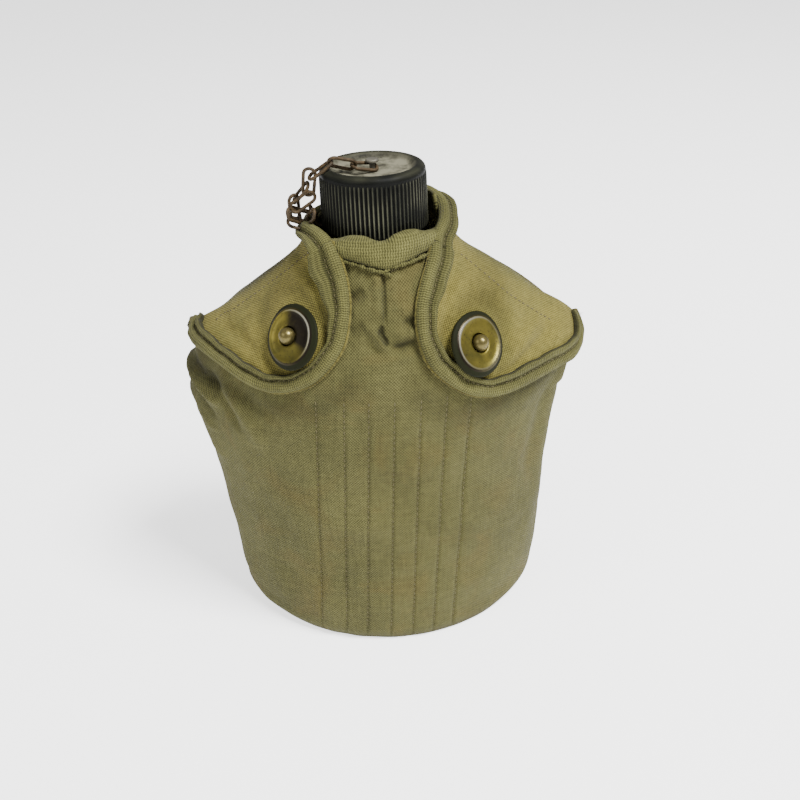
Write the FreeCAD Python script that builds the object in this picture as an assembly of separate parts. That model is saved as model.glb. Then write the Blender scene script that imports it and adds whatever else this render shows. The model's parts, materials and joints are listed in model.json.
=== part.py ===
"""Belt canteen in a canvas cover, millimetres.

A kidney-section metal bottle with a ribbed screw cap stands in a lined canvas
cover. Two shoulder flaps close over the bottle's shoulders on a stud each, a
small chain keeps the cap, and a wire hook on the back hangs it from a belt.

Frame: +Z up through the neck and cap, -Y is the front, the origin lies on the
neck's axis at the level that the cover stands on.
"""
import FreeCAD
import Part

import math
import os

V = FreeCAD.Vector

# ---------------------------------------------------------------- dimensions
CANVAS = 1.6                 # cover canvas, two plies sewn together
FELT = 2.3                   # liner
COLLAR_TOP_Z = 190.0         # top of the cover's collar on the axis
COLLAR_TILT = 0.16           # it is higher on the right, where no chain crosses it
COLLAR_BINDING_H = 6.0
TOP_Z = 195.0                # above every part of the cover
FRONT_TOP_Z = 186.0          # top of the front panel
LINER_TOP_Z = 166.0
SEAM_Y = 15.0                # front and back panels meet here below the shoulder
COLLAR_SEAM_Y = 3.0          # and here at the collar

# Cover, outer surface: height, half width, front, back, bend, roundness.
# Front and back are measured from the axis at mid width. The bend carries the
# section's ends backwards, which makes the back hollow, to fit a hip.
COVER_STATIONS = (
    (0.0, 66.0, 40.5, 26.0, 20.0, 2.40),
    (4.0, 69.0, 43.0, 29.0, 21.0, 2.45),
    (12.0, 71.0, 44.0, 30.0, 22.0, 2.45),
    (40.0, 74.0, 44.5, 30.5, 22.0, 2.45),
    (80.0, 77.0, 45.0, 31.0, 22.0, 2.45),
    (115.0, 79.5, 45.0, 31.0, 22.0, 2.45),
    (135.0, 78.0, 44.0, 31.0, 20.0, 2.40),
    (150.0, 64.0, 40.0, 29.5, 16.0, 2.25),
    (163.0, 47.0, 34.5, 27.5, 10.0, 2.15),
    (174.0, 32.5, 29.0, 26.0, 4.0, 2.05),
    (182.0, 26.5, 26.0, 25.0, 1.0, 2.00),
    (188.0, 25.0, 25.0, 25.0, 0.0, 2.00),
    (TOP_Z + 2.0, 25.0, 25.0, 25.0, 0.0, 2.00),
)

# Bottle, outer surface, in the same terms.
BOTTLE_WALL = 0.9
BOTTLE_BASE_Z = CANVAS + FELT
BOTTLE_TOP_Z = 177.0
BOTTLE_SEAM_Z = 92.0
BOTTLE_STATIONS = (
    (BOTTLE_BASE_Z, 56.0, 30.0, 17.0, 17.0, 2.35),
    (6.5, 61.0, 34.5, 21.0, 19.0, 2.40),
    (13.0, 65.0, 38.0, 24.0, 21.0, 2.45),
    (40.0, 68.0, 39.3, 25.2, 22.0, 2.45),
    (80.0, 71.0, 39.8, 25.8, 22.0, 2.45),
    (115.0, 73.0, 39.8, 25.8, 22.0, 2.45),
    (132.0, 70.5, 38.6, 25.6, 20.0, 2.40),
    (147.0, 56.5, 34.4, 24.0, 15.5, 2.25),
    (159.0, 40.5, 28.8, 22.0, 9.5, 2.15),
    (168.0, 26.5, 22.5, 19.5, 3.5, 2.05),
    (173.5, 19.0, 18.2, 17.6, 0.8, 2.00),
    (BOTTLE_TOP_Z, 16.6, 16.6, 16.6, 0.0, 2.00),
)
RING_POINTS = 36             # points that shape each section's closed curve

# Neck and screw cap.
NECK_R = 15.0
NECK_BORE_R = 12.2
NECK_TOP_Z = 195.5
NECK_FLANGE = 2.0
THREAD_PITCH = 4.0
THREAD_DEPTH = 1.1
THREAD_HEIGHT = 6.0
THREAD_Z = 187.5             # middle of the neck thread's first turn
CAP_BASE_Z = 184.4
CAP_TOP_Z = 208.0
CAP_R = 21.2                 # over the ribs, at the base
CAP_TOP_R = 20.8
CAP_GROOVE_R = 20.35
CAP_RIB_TOP_Z = 204.6
CAP_EDGE_R = 2.9             # round on the top edge
CAP_CEILING_Z = 198.1
CAP_BORE_R = 16.4
CAP_RIBS = 76
DISH_R = 16.4
DISH_DEPTH = 3.0
GASKET_R = 15.9
GASKET_T = 2.3

# Chain, its pin in the cap and its collar round the neck.
PIN_R = 1.1
PIN_HEAD_R = 2.6
PIN_HEAD_RISE = 3.7          # underside of the head above the middle of the dish
PIN_WASHER_R = 3.6
PIN_RUNNING_GAP = 0.06
# Each link of the chain, from the pin to the collar's ear: centre, the way its
# length runs, and the way its flat faces.
LINKS = (
    ((-2.95, -1.7, 207.4), (0.85, 0.45, -0.2), (0.35, -0.25, 0.9)),
    ((-11.3, -5.0, 209.8), (0.9, 0.3, -0.3), (-0.1, 0.85, 0.5)),
    ((-19.5, -6.4, 207.9), (0.85, 0.05, 0.55), (-0.55, -0.2, 0.8)),
    ((-24.3, -5.9, 203.4), (0.15, -0.1, 1.0), (0.05, 1.0, 0.1)),
    ((-27.8, -4.6, 199.0), (0.6, -0.35, 0.7), (0.8, 0.25, -0.55)),
    ((-31.0, -3.6, 192.9), (0.0, -0.2, 1.0), (-0.7, 0.7, 0.15)),
    ((-27.8, -1.6, 190.9), (-1.0, 0.05, 0.25), (0.2, 0.45, 0.85)),
    ((-23.6, 0.0, 187.6), (-0.35, 0.0, 0.95), (0.95, 0.0, 0.35)),
)
LINK_WIRE_R = 0.6
LINK_STRAIGHT = 6.3          # between the centres of a link's two end arcs
LINK_END_R = 2.2             # centreline radius of an end arc
COLLAR_Z = (179.2, 182.6)
COLLAR_T = 1.0
EAR_X = -21.7
EAR_HOLE_Z = 182.6

# Shoulder flaps. Each lies over the front panel's shoulder.
FLAP_GAP = 0.5               # between the front panel and the flap's lining
LINING_T = 0.8
FLAP_T = 1.4
BINDING_T = 3.4              # the edge tape, folded round canvas and lining
BINDING_W = 4.0
COLLAR_CLEAR_R = 31.0         # the flaps keep this far from the axis beside the collar
# Fold line of each flap, just above the shoulder: inner end, outer end.
FOLD = {
    "left": (V(-15.0, -13.0, 190.5), V(-84.0, -1.0, 139.5)),
    "right": (V(17.0, -13.0, 190.5), V(85.0, -1.0, 138.0)),
}
# Corners of each flap in the front view (x, z) and the radius at each corner.
FLAP_CORNERS = {
    "left": (
        ((-11.0, 205.0), 0.0), ((-9.0, 154.0), 22.0), ((-30.0, 128.0), 16.0),
        ((-58.0, 131.5), 30.0), ((-88.0, 141.0), 0.0), ((-88.0, 205.0), 0.0),
    ),
    "right": (
        ((17.0, 205.0), 0.0), ((11.5, 150.0), 22.0), ((30.0, 123.0), 16.0),
        ((60.0, 126.0), 30.0), ((90.0, 136.0), 0.0), ((90.0, 205.0), 0.0),
    ),
}

# Stud fasteners: a point over the panel, and the socket plate's turn.
STUD_XZ = {"left": (-32.5, 150.5), "right": (36.0, 145.0)}
PLATE_TURN = {"left": 8.0, "right": -14.0}
PLATE_HALF_W = 11.0
PLATE_HALF_H = 12.8
PLATE_T = 2.0
STUD_BALL_R = 3.3
STUD_BALL_Z = 5.0            # centre of the ball above the panel
STUD_POST_R = 1.9
STUD_HOLE_R = 4.1
STUD_FLANGE_R = 5.0
STUD_FLANGE_Z = (-0.6, 0.3)
STUD_SHANK_R = 1.2           # goes through the panel and is riveted over the washer
STUD_SHANK_END_Z = -3.2
WASHER_R = 5.0
WASHER_Z = (-3.4, -2.5)
BACK_PLATE_Z = 0.85
BACK_PLATE_T = 0.7

# Belt hook and the webbing strap that holds it.
STRAP_HALF_W = 22.0
STRAP_T = 2.0
STRAP_Z = (62.0, 126.0)
HOOK_WIRE_R = 1.6
HOOK_HALF_W = 29.0
HOOK_BAR = V(0.0, 36.2, 126.0)
HOOK_DROP = 40.0
HOOK_BEND_R = 5.0
HOOK_TIP = 14.0
HOOK_CORNER_R = 4.0
LOOP_GAP = 0.4
LOOP_WALL = 1.6

BIG = 200.0


# ------------------------------------------------------------------- helpers
def section(station, offset=0.0):
    """Closed kidney curve of one station, grown outwards by offset."""
    z, half_w, front, back, bend, power = station
    half_w += offset
    half_d = (front + back) / 2.0 + offset
    mid_y = (back - front) / 2.0
    points = []
    for i in range(RING_POINTS):
        a = 2.0 * math.pi * i / RING_POINTS
        c, s = math.cos(a), math.sin(a)
        x = half_w * math.copysign(abs(c) ** (2.0 / power), c)
        y = half_d * math.copysign(abs(s) ** (2.0 / power), s)
        points.append(V(x, mid_y + y + bend * (x / half_w) ** 2, z))
    curve = Part.BSplineCurve()
    curve.interpolate(Points=points, PeriodicFlag=True)
    return Part.Wire([curve.toShape()])


def body(stations, offset=0.0):
    """Smooth closed solid through all stations, grown by offset."""
    return Part.makeLoft([section(s, offset) for s in stations], True, False)


def block(x0, x1, y0, y1, z0, z1):
    return Part.makeBox(x1 - x0, y1 - y0, z1 - z0, V(x0, y0, z0))


def prism_along_x(points_yz):
    face = Part.Face(Part.makePolygon([V(-BIG, y, z) for y, z in points_yz + points_yz[:1]]))
    return face.extrude(V(2.0 * BIG, 0, 0))


def prism_along_z(points_xy):
    face = Part.Face(Part.makePolygon([V(x, y, -BIG) for x, y in points_xy + points_xy[:1]]))
    return face.extrude(V(0, 0, 3.0 * BIG))


def revolve(points_rz):
    """Solid of revolution about the neck's axis from a closed (r, z) outline."""
    face = Part.Face(Part.makePolygon([V(r, 0, z) for r, z in points_rz + points_rz[:1]]))
    return face.revolve(V(0, 0, 0), V(0, 0, 1), 360.0)


def tube(r_out, r_in, z0, z1):
    return Part.makeCylinder(r_out, z1 - z0, V(0, 0, z0)).cut(
        Part.makeCylinder(r_in, z1 - z0 + 2.0, V(0, 0, z0 - 1.0)))


def rounded_outline(corners, y):
    """Closed outline in the plane of that y, with an arc at each rounded corner."""
    edges = []
    ends = []
    count = len(corners)
    for i, ((x, z), radius) in enumerate(corners):
        point = V(x, y, z)
        if radius == 0.0:
            ends.append((point, None, point))
            continue
        (xa, za), (xb, zb) = corners[i - 1][0], corners[(i + 1) % count][0]
        to_a = (V(xa, y, za) - point).normalize()
        to_b = (V(xb, y, zb) - point).normalize()
        half = to_a.getAngle(to_b) / 2.0
        reach = radius / math.tan(half)
        middle = point + (to_a + to_b).normalize() * (radius / math.sin(half) - radius)
        ends.append((point + to_a * reach, middle, point + to_b * reach))
    for i in range(count):
        start, middle, end = ends[i]
        if middle is not None:
            edges.append(Part.Arc(start, middle, end).toShape())
        nxt = ends[(i + 1) % count][0]
        if end.distanceToPoint(nxt) > 1e-6:
            edges.append(Part.LineSegment(end, nxt).toShape())
    return Part.Wire(edges)


def helical_ridge(radius, outward, z_middle, height):
    """Thread ridge: a trapezoid swept along a helix, its base sunk in the wall."""
    sink, half_base, half_crest = 0.25, 1.0, 0.35
    tip = radius + outward * THREAD_DEPTH
    root = radius - outward * sink
    outline = [V(root, 0, -half_base), V(tip, 0, -half_crest), V(tip, 0, half_crest),
               V(root, 0, half_base), V(root, 0, -half_base)]
    profile = Part.makePolygon(outline)
    path = Part.makeHelix(THREAD_PITCH, height, radius)
    ridge = Part.Wire(path.Edges).makePipeShell([profile], True, True)
    ridge.translate(V(0, 0, z_middle))
    return ridge


def one_solid(shape):
    """The largest solid of a shape."""
    solids = sorted(shape.Solids, key=lambda s: s.Volume)
    return solids[-1]


def save(name, shape):
    solids = [s for s in shape.Solids if s.Volume > 0.5]
    assert solids, name
    for s in solids:
        assert s.isValid(), name
    result = solids[0] if len(solids) == 1 else Part.makeCompound(solids)
    result.exportStep("parts/%s.step" % name)
    print("%-26s solids %d  volume %9.1f" % (name, len(solids), result.Volume))


# -------------------------------------------------------------- cover panels
SURFACE = {}


def cover_at(offset):
    """The cover's outer surface grown by offset, as a solid. Kept once made."""
    if offset not in SURFACE:
        SURFACE[offset] = body(COVER_STATIONS, offset)
    return SURFACE[offset]


def layer(inner, outer):
    """The space between two offsets of the cover's outer surface."""
    return cover_at(outer).cut(cover_at(inner))


def in_front_of_seam():
    return prism_along_x([(-BIG, -BIG), (SEAM_Y, -BIG), (SEAM_Y, 130.0),
                          (COLLAR_SEAM_Y, FRONT_TOP_Z), (COLLAR_SEAM_Y, BIG + 50.0),
                          (-BIG, BIG + 50.0)])


def below_collar_top(drop):
    """Everything below the collar's slanting top, lowered by drop."""
    low, high = COLLAR_TOP_Z - drop - COLLAR_TILT * BIG, COLLAR_TOP_Z - drop + COLLAR_TILT * BIG
    outline = [V(-BIG, -BIG, -BIG), V(BIG, -BIG, -BIG), V(BIG, -BIG, high), V(-BIG, -BIG, low)]
    return Part.Face(Part.makePolygon(outline + outline[:1])).extrude(V(0, 2.0 * BIG, 0))


def fold_polygon(side, push):
    """Plan outline of everything in front of a flap's fold line, moved back by push."""
    inner, outer = FOLD[side]
    sign = -1.0 if side == "left" else 1.0
    slope = (outer.y - inner.y) / (outer.x - inner.x)
    far_x = sign * BIG
    return [(0.0, inner.y - slope * inner.x + push), (far_x, inner.y + slope * (far_x - inner.x) + push),
            (far_x, -BIG), (0.0, -BIG)]


def behind_folds():
    """Plan region behind both fold lines, which the back panel's yoke fills."""
    left, right = FOLD["left"], FOLD["right"]
    inner_l, outer_l = left
    inner_r, outer_r = right
    slope_l = (outer_l.y - inner_l.y) / (outer_l.x - inner_l.x)
    slope_r = (outer_r.y - inner_r.y) / (outer_r.x - inner_r.x)
    return prism_along_z([
        (-BIG, inner_l.y + slope_l * (-BIG - inner_l.x)), (inner_l.x, inner_l.y),
        (inner_r.x, inner_r.y), (BIG, inner_r.y + slope_r * (BIG - inner_r.x)),
        (BIG, BIG), (-BIG, BIG)])


def make_cover():
    front_side = in_front_of_seam()
    wall = layer(-CANVAS, 0.0)
    above_floor = block(-BIG, BIG, -BIG, BIG, CANVAS, TOP_Z)
    binding_z = FRONT_TOP_Z - 9.0

    bottom = cover_at(0.0).common(block(-BIG, BIG, -BIG, BIG, -1.0, CANVAS))
    front = wall.common(front_side).common(
        block(-BIG, BIG, -BIG, BIG, CANVAS, binding_z))
    front_binding = layer(-2.4, 0.0).common(front_side).common(
        block(-BIG, BIG, -BIG, BIG, binding_z, FRONT_TOP_Z))
    ear_slot = block(-BIG, -16.0, -4.0, BIG, 179.0, BIG)
    front_binding = front_binding.cut(ear_slot)

    yoke_out = FLAP_GAP + LINING_T + FLAP_T
    below_binding = below_collar_top(COLLAR_BINDING_H)
    back_wall = wall.common(above_floor).cut(front_side).common(below_binding)
    yoke_zone = block(-BIG, BIG, -BIG, BIG, 134.0, TOP_Z).common(below_binding)
    yoke = layer(FLAP_GAP, yoke_out).common(behind_folds()).common(yoke_zone)
    bridge = layer(-CANVAS, yoke_out).common(yoke_zone).cut(front_side)
    back = back_wall.fuse([yoke, bridge])
    collar_binding = layer(-0.6, yoke_out + 0.6).common(behind_folds()).common(
        below_collar_top(0.0)).cut(below_binding).cut(front_binding)
    return bottom, front, front_binding, back, collar_binding


def make_liner(tools):
    front_side = in_front_of_seam()
    inner, outer = -(CANVAS + FELT), -CANVAS
    floor_z = CANVAS + FELT
    felt = layer(inner, outer)
    wall = felt.common(block(-BIG, BIG, -BIG, BIG, floor_z, LINER_TOP_Z))
    front = wall.common(front_side)
    back = wall.cut(front_side)
    bottom = cover_at(-CANVAS).common(block(-BIG, BIG, -BIG, BIG, CANVAS, floor_z))
    for tool in tools:
        front = front.cut(tool)
    bottle = body(BOTTLE_STATIONS, 0.05)
    front = front.cut(bottle)
    back = back.cut(bottle)
    return bottom, front, back


# ------------------------------------------------------------ flaps and studs
def make_flap(side):
    """Canvas, lining and edge binding of one flap, in that order."""
    outline = rounded_outline(FLAP_CORNERS[side], -90.0)
    inset = outline.makeOffset2D(-BINDING_W)
    to_back = V(0, 180.0, 0)
    whole = Part.Face(outline).extrude(to_back)
    inside = Part.Face(inset).extrude(to_back)
    zone = prism_along_z(fold_polygon(side, -0.5))
    inner_end = FOLD[side][0].x
    sign = -1.0 if side == "left" else 1.0
    reach = abs(FOLD[side][1].x) - 3.0
    trim = block(min(sign * reach, 0.0), max(sign * reach, 0.0), -BIG, BIG, 0.0, TOP_Z)
    zone = zone.common(trim).common(below_collar_top(2.0 if side == "left" else 6.0))
    round_collar = Part.makeCylinder(COLLAR_CLEAR_R, BIG).common(block(-BIG, BIG, -19.5, BIG, 0.0, BIG))
    zone = zone.cut(round_collar)
    lining = layer(FLAP_GAP, FLAP_GAP + LINING_T).common(zone).common(inside)
    canvas = layer(FLAP_GAP + LINING_T, FLAP_GAP + LINING_T + FLAP_T).common(zone).common(inside)
    binding = layer(FLAP_GAP, FLAP_GAP + BINDING_T).common(zone).common(whole).cut(inside)
    return canvas, lining, binding


def surface_point(x, z):
    """Where a line along Y at that x and z meets the front of the cover."""
    line = Part.LineSegment(V(x, -90.0, z), V(x, 0.0, z)).toShape()
    hits = line.common(cover_at(0.0)).Vertexes
    return min((v.Point for v in hits), key=lambda p: p.y)


def stud_frame(side):
    """Foot of the stud, and its axis: the way the flap's plate first moves."""
    x, z = STUD_XZ[side]
    foot = surface_point(x, z)
    inner, outer = FOLD[side]
    along = (outer - inner).normalize()
    arm = foot - inner
    arm = arm - along * arm.dot(along)
    axis = along.cross(arm).normalize()
    if axis.y > 0:
        axis = axis * -1.0
    return foot, axis


def place(shape, foot, axis, turn=0.0):
    """Moves a shape modelled about +Z at the origin onto the foot and axis."""
    up = V(0, 0, 1) - axis * axis.z
    y_dir = up.normalize()
    x_dir = y_dir.cross(axis)
    spin = FreeCAD.Rotation(V(0, 0, 1), turn)
    frame = FreeCAD.Rotation(x_dir, y_dir, axis, "ZXY")
    result = shape.copy()
    result.Placement = FreeCAD.Placement(foot, frame.multiply(spin))
    return result


def egg(half_w, half_h, z):
    """Socket plate outline: an ellipse pinched a little at its upper end."""
    points = []
    for i in range(24):
        a = 2.0 * math.pi * i / 24
        pinch = 1.0 - 0.10 * max(math.sin(a), 0.0) ** 2
        points.append(V(half_w * math.cos(a) * pinch, half_h * math.sin(a), z))
    curve = Part.BSplineCurve()
    curve.interpolate(Points=points, PeriodicFlag=True)
    return Part.Wire([curve.toShape()])


def cylinder(r, z0, z1):
    return Part.makeCylinder(r, z1 - z0, V(0, 0, z0))


def make_fastener(side):
    """Stud, inner washer, socket plate, back plate and the hole tools."""
    foot, axis = stud_frame(side)
    turn = PLATE_TURN[side]
    plate_z = FLAP_GAP + LINING_T + FLAP_T + 0.3
    flange_low, flange_top = STUD_FLANGE_Z
    stud = cylinder(STUD_FLANGE_R, flange_low, flange_top).fuse(
        [cylinder(STUD_POST_R, flange_top, STUD_BALL_Z),
         cylinder(STUD_SHANK_R, STUD_SHANK_END_Z, flange_low),
         Part.makeSphere(STUD_BALL_R, V(0, 0, STUD_BALL_Z))])
    washer = cylinder(WASHER_R, *WASHER_Z).cut(cylinder(STUD_SHANK_R, -4.0, 1.0))
    rim = egg(PLATE_HALF_W, PLATE_HALF_H, plate_z)
    shoulder = egg(PLATE_HALF_W - 0.25, PLATE_HALF_H - 0.25, plate_z + 0.55 * PLATE_T)
    crown = egg(PLATE_HALF_W - 1.7, PLATE_HALF_H - 1.7, plate_z + PLATE_T)
    socket = Part.makeLoft([rim, shoulder, crown], True, True)
    socket = socket.cut(cylinder(STUD_HOLE_R, 0.0, 10.0))
    back_face = Part.Face(egg(PLATE_HALF_W - 1.5, PLATE_HALF_H - 1.5, BACK_PLATE_Z))
    back_plate = back_face.extrude(V(0, 0, BACK_PLATE_T)).cut(cylinder(STUD_HOLE_R, 0.0, 10.0))
    flap_hole = cylinder(STUD_HOLE_R + 1.3, -1.0, 6.0)
    plate_seat = Part.Face(egg(PLATE_HALF_W + 0.1, PLATE_HALF_H + 0.1, plate_z)).extrude(V(0, 0, 6.0))
    back_seat = Part.Face(egg(PLATE_HALF_W - 1.4, PLATE_HALF_H - 1.4, 0.8)).extrude(V(0, 0, 0.8))
    under_seat = Part.Face(egg(PLATE_HALF_W - 1.4, PLATE_HALF_H - 1.4, -3.0)).extrude(V(0, 0, 3.85))
    panel_seat = Part.Face(egg(PLATE_HALF_W - 1.4, PLATE_HALF_H - 1.4, 0.78)).extrude(V(0, 0, 5.0))
    washer_low, washer_top = WASHER_Z
    panel_hole = cylinder(STUD_FLANGE_R + 0.05, flange_low, 9.0).fuse(
        [cylinder(STUD_SHANK_R + 0.05, -5.0, 1.0),
         cylinder(WASHER_R + 0.05, washer_low - 0.05, washer_top + 0.1)])
    liner_hole = cylinder(5.6, -3.5, 0.0)
    shapes = {
        "stud": stud, "washer": washer, "socket": socket, "back_plate": back_plate,
        "flap_hole": flap_hole, "plate_seat": plate_seat, "back_seat": back_seat,
        "under_seat": under_seat, "panel_seat": panel_seat, "panel_hole": panel_hole,
        "liner_hole": liner_hole,
    }
    return {name: place(shape, foot, axis, turn) for name, shape in shapes.items()}


# --------------------------------------------------------- bottle, neck, cap
def make_bottle():
    outer = body(BOTTLE_STATIONS)
    inner = body(BOTTLE_STATIONS, -BOTTLE_WALL)
    inner = inner.common(block(-BIG, BIG, -BIG, BIG, BOTTLE_BASE_Z + BOTTLE_WALL, BIG))
    mouth = Part.makeCylinder(NECK_BORE_R, 6.0, V(0, 0, BOTTLE_TOP_Z - 4.0))
    shell = outer.cut(inner.fuse(mouth))
    lower = shell.common(block(-BIG, BIG, -BIG, BIG, 0.0, BOTTLE_SEAM_Z))
    upper = shell.common(block(-BIG, BIG, -BIG, BIG, BOTTLE_SEAM_Z, BIG))
    return lower, upper


def make_neck():
    base = BOTTLE_TOP_Z
    neck = tube(NECK_R, NECK_BORE_R, base, NECK_TOP_Z)
    flange = tube(BOTTLE_STATIONS[-1][1], NECK_BORE_R, base, base + NECK_FLANGE)
    ridge = helical_ridge(NECK_R, 1.0, THREAD_Z, THREAD_HEIGHT)
    return neck.fuse([flange, ridge])


def make_collar():
    """Sheet metal band round the neck, with the ear that holds the chain."""
    z0, z1 = COLLAR_Z
    inner_r = NECK_R + 0.1
    band = tube(inner_r + COLLAR_T, inner_r, z0, z1)
    ear = block(EAR_X - 1.8, -inner_r - 0.5, -0.5, 0.5, z0, EAR_HOLE_Z + 1.5)
    hole = Part.makeCylinder(1.0, 6.0, V(EAR_X, -3.0, EAR_HOLE_Z), V(0, 1, 0))
    bore = Part.makeCylinder(inner_r, 20.0, V(0, 0, z0 - 5.0))
    return band.fuse(ear.cut(hole)).cut(bore)


def rib_mask():
    """Prism whose toothed edge cuts the grip ribs into the cap's side."""
    points = []
    step = 2.0 * math.pi / CAP_RIBS
    crest_r, root_r = CAP_R + 1.0, CAP_GROOVE_R
    for i in range(CAP_RIBS):
        for share, r in ((-0.32, root_r), (-0.20, crest_r), (0.20, crest_r), (0.32, root_r)):
            a = (i + share) * step
            points.append(V(r * math.cos(a), r * math.sin(a), CAP_BASE_Z - 1.0))
    face = Part.Face(Part.makePolygon(points + points[:1]))
    ribs = face.extrude(V(0, 0, CAP_RIB_TOP_Z - CAP_BASE_Z + 1.0))
    crown = Part.makeCylinder(CAP_GROOVE_R + 0.1, 10.0, V(0, 0, CAP_RIB_TOP_Z))
    return ribs.fuse(crown)


def make_cap():
    edge = []
    for i in range(7):
        a = math.radians(15.0 * i)
        edge.append((CAP_TOP_R - CAP_EDGE_R + CAP_EDGE_R * math.cos(a),
                     CAP_TOP_Z - CAP_EDGE_R + CAP_EDGE_R * math.sin(a)))
    outline = [(0.0, CAP_BASE_Z), (CAP_R, CAP_BASE_Z)] + edge + [(0.0, CAP_TOP_Z)]
    blank = revolve(outline).common(rib_mask())
    ball_r = (DISH_R ** 2 + DISH_DEPTH ** 2) / (2.0 * DISH_DEPTH)
    dish = Part.makeSphere(ball_r, V(0, 0, CAP_TOP_Z - DISH_DEPTH + ball_r))
    cavity = Part.makeCylinder(CAP_BORE_R, CAP_CEILING_Z - CAP_BASE_Z + 1.0,
                               V(0, 0, CAP_BASE_Z - 1.0))
    pin_hole = Part.makeCylinder(PIN_R + PIN_RUNNING_GAP, 20.0, V(0, 0, CAP_CEILING_Z - 2.0))
    cap = blank.cut(dish).cut(cavity).cut(pin_hole)
    ridge = helical_ridge(CAP_BORE_R, -1.0, THREAD_Z - THREAD_PITCH / 2.0, THREAD_HEIGHT)
    return cap.fuse(ridge)


def make_gasket():
    base = CAP_CEILING_Z - GASKET_T
    disc = Part.makeCylinder(GASKET_R, GASKET_T, V(0, 0, base))
    pocket = Part.makeCylinder(PIN_WASHER_R + 0.5, GASKET_T, V(0, 0, base + 1.1))
    return disc.cut(pocket)


def make_pin():
    dish_z = CAP_TOP_Z - DISH_DEPTH
    shank = Part.makeCylinder(PIN_R, dish_z + PIN_HEAD_RISE - CAP_CEILING_Z + 1.1,
                              V(0, 0, CAP_CEILING_Z - 1.1))
    head = Part.makeCylinder(PIN_HEAD_R, 1.1, V(0, 0, dish_z + PIN_HEAD_RISE))
    head = head.makeFillet(0.7, [head.Edges[0]])
    washer = tube(PIN_WASHER_R, PIN_R, CAP_CEILING_Z - 1.0, CAP_CEILING_Z - 0.1)
    return shank.fuse(head), washer


def make_link(centre, along, normal):
    """One wire link: two straight sides and two round ends."""
    torus = Part.makeTorus(LINK_END_R, LINK_WIRE_R)
    right = torus.common(Part.makeBox(10.0, 20.0, 10.0, V(0.0, -10.0, -5.0)))
    left = torus.common(Part.makeBox(10.0, 20.0, 10.0, V(-10.0, -10.0, -5.0)))
    right.translate(V(LINK_STRAIGHT / 2.0, 0, 0))
    left.translate(V(-LINK_STRAIGHT / 2.0, 0, 0))
    sides = [Part.makeCylinder(LINK_WIRE_R, LINK_STRAIGHT,
                               V(-LINK_STRAIGHT / 2.0, y, 0), V(1, 0, 0))
             for y in (-LINK_END_R, LINK_END_R)]
    link = right.fuse([left] + sides)
    x_dir = V(*along).normalize()
    z_dir = V(*normal)
    z_dir = (z_dir - x_dir * z_dir.dot(x_dir)).normalize()
    frame = FreeCAD.Rotation(x_dir, z_dir.cross(x_dir), z_dir, "ZXY")
    link.Placement = FreeCAD.Placement(V(*centre), frame)
    return link


# ------------------------------------------------------------------ belt hook
def hook_path():
    """Centreline of the wire as it hangs: a bar, two legs and two upturned tips."""
    bar, r = HOOK_BAR, HOOK_CORNER_R
    low = bar.z - HOOK_DROP
    cut = r * (1.0 - math.sqrt(0.5))
    edges = []
    for sign in (-1.0, 1.0):
        x = sign * HOOK_HALF_W
        tip_y = bar.y + 2.0 * HOOK_BEND_R
        tip_top = V(x, tip_y, low + HOOK_TIP)
        tip_low = V(x, tip_y, low)
        leg_low = V(x, bar.y, low)
        leg_top = V(x, bar.y, bar.z - r)
        corner = V(x - sign * cut, bar.y, bar.z - cut)
        bar_end = V(x - sign * r, bar.y, bar.z)
        part = [Part.LineSegment(tip_top, tip_low).toShape(),
                Part.Arc(tip_low, V(x, bar.y + HOOK_BEND_R, low - HOOK_BEND_R), leg_low).toShape(),
                Part.LineSegment(leg_low, leg_top).toShape(),
                Part.Arc(leg_top, corner, bar_end).toShape()]
        edges.append(part)
    span = HOOK_HALF_W - r
    middle = Part.LineSegment(V(-span, bar.y, bar.z), V(span, bar.y, bar.z)).toShape()
    return Part.Wire(edges[0] + [middle] + edges[1][::-1])


def make_hook():
    path = hook_path()
    start = V(-HOOK_HALF_W, HOOK_BAR.y + 2.0 * HOOK_BEND_R, HOOK_BAR.z - HOOK_DROP + HOOK_TIP)
    ring = Part.Wire([Part.Circle(start, V(0, 0, 1), HOOK_WIRE_R).toShape()])
    wire = path.makePipeShell([ring], True, False)
    return wire


def make_strap():
    """Webbing on the back panel, with the loop that the hook's bar turns in."""
    z0, z1 = STRAP_Z
    web = layer(0.1, 0.1 + STRAP_T).common(
        block(-STRAP_HALF_W, STRAP_HALF_W, 0.0, BIG, z0, z1))
    bore_r = HOOK_WIRE_R + LOOP_GAP
    outer = Part.makeCylinder(bore_r + LOOP_WALL, 2.0 * STRAP_HALF_W,
                              V(-STRAP_HALF_W, HOOK_BAR.y, HOOK_BAR.z), V(1, 0, 0))
    bore = Part.makeCylinder(bore_r, 4.0 * STRAP_HALF_W,
                             V(-2.0 * STRAP_HALF_W, HOOK_BAR.y, HOOK_BAR.z), V(1, 0, 0))
    return web.fuse(outer).cut(bore)


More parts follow.
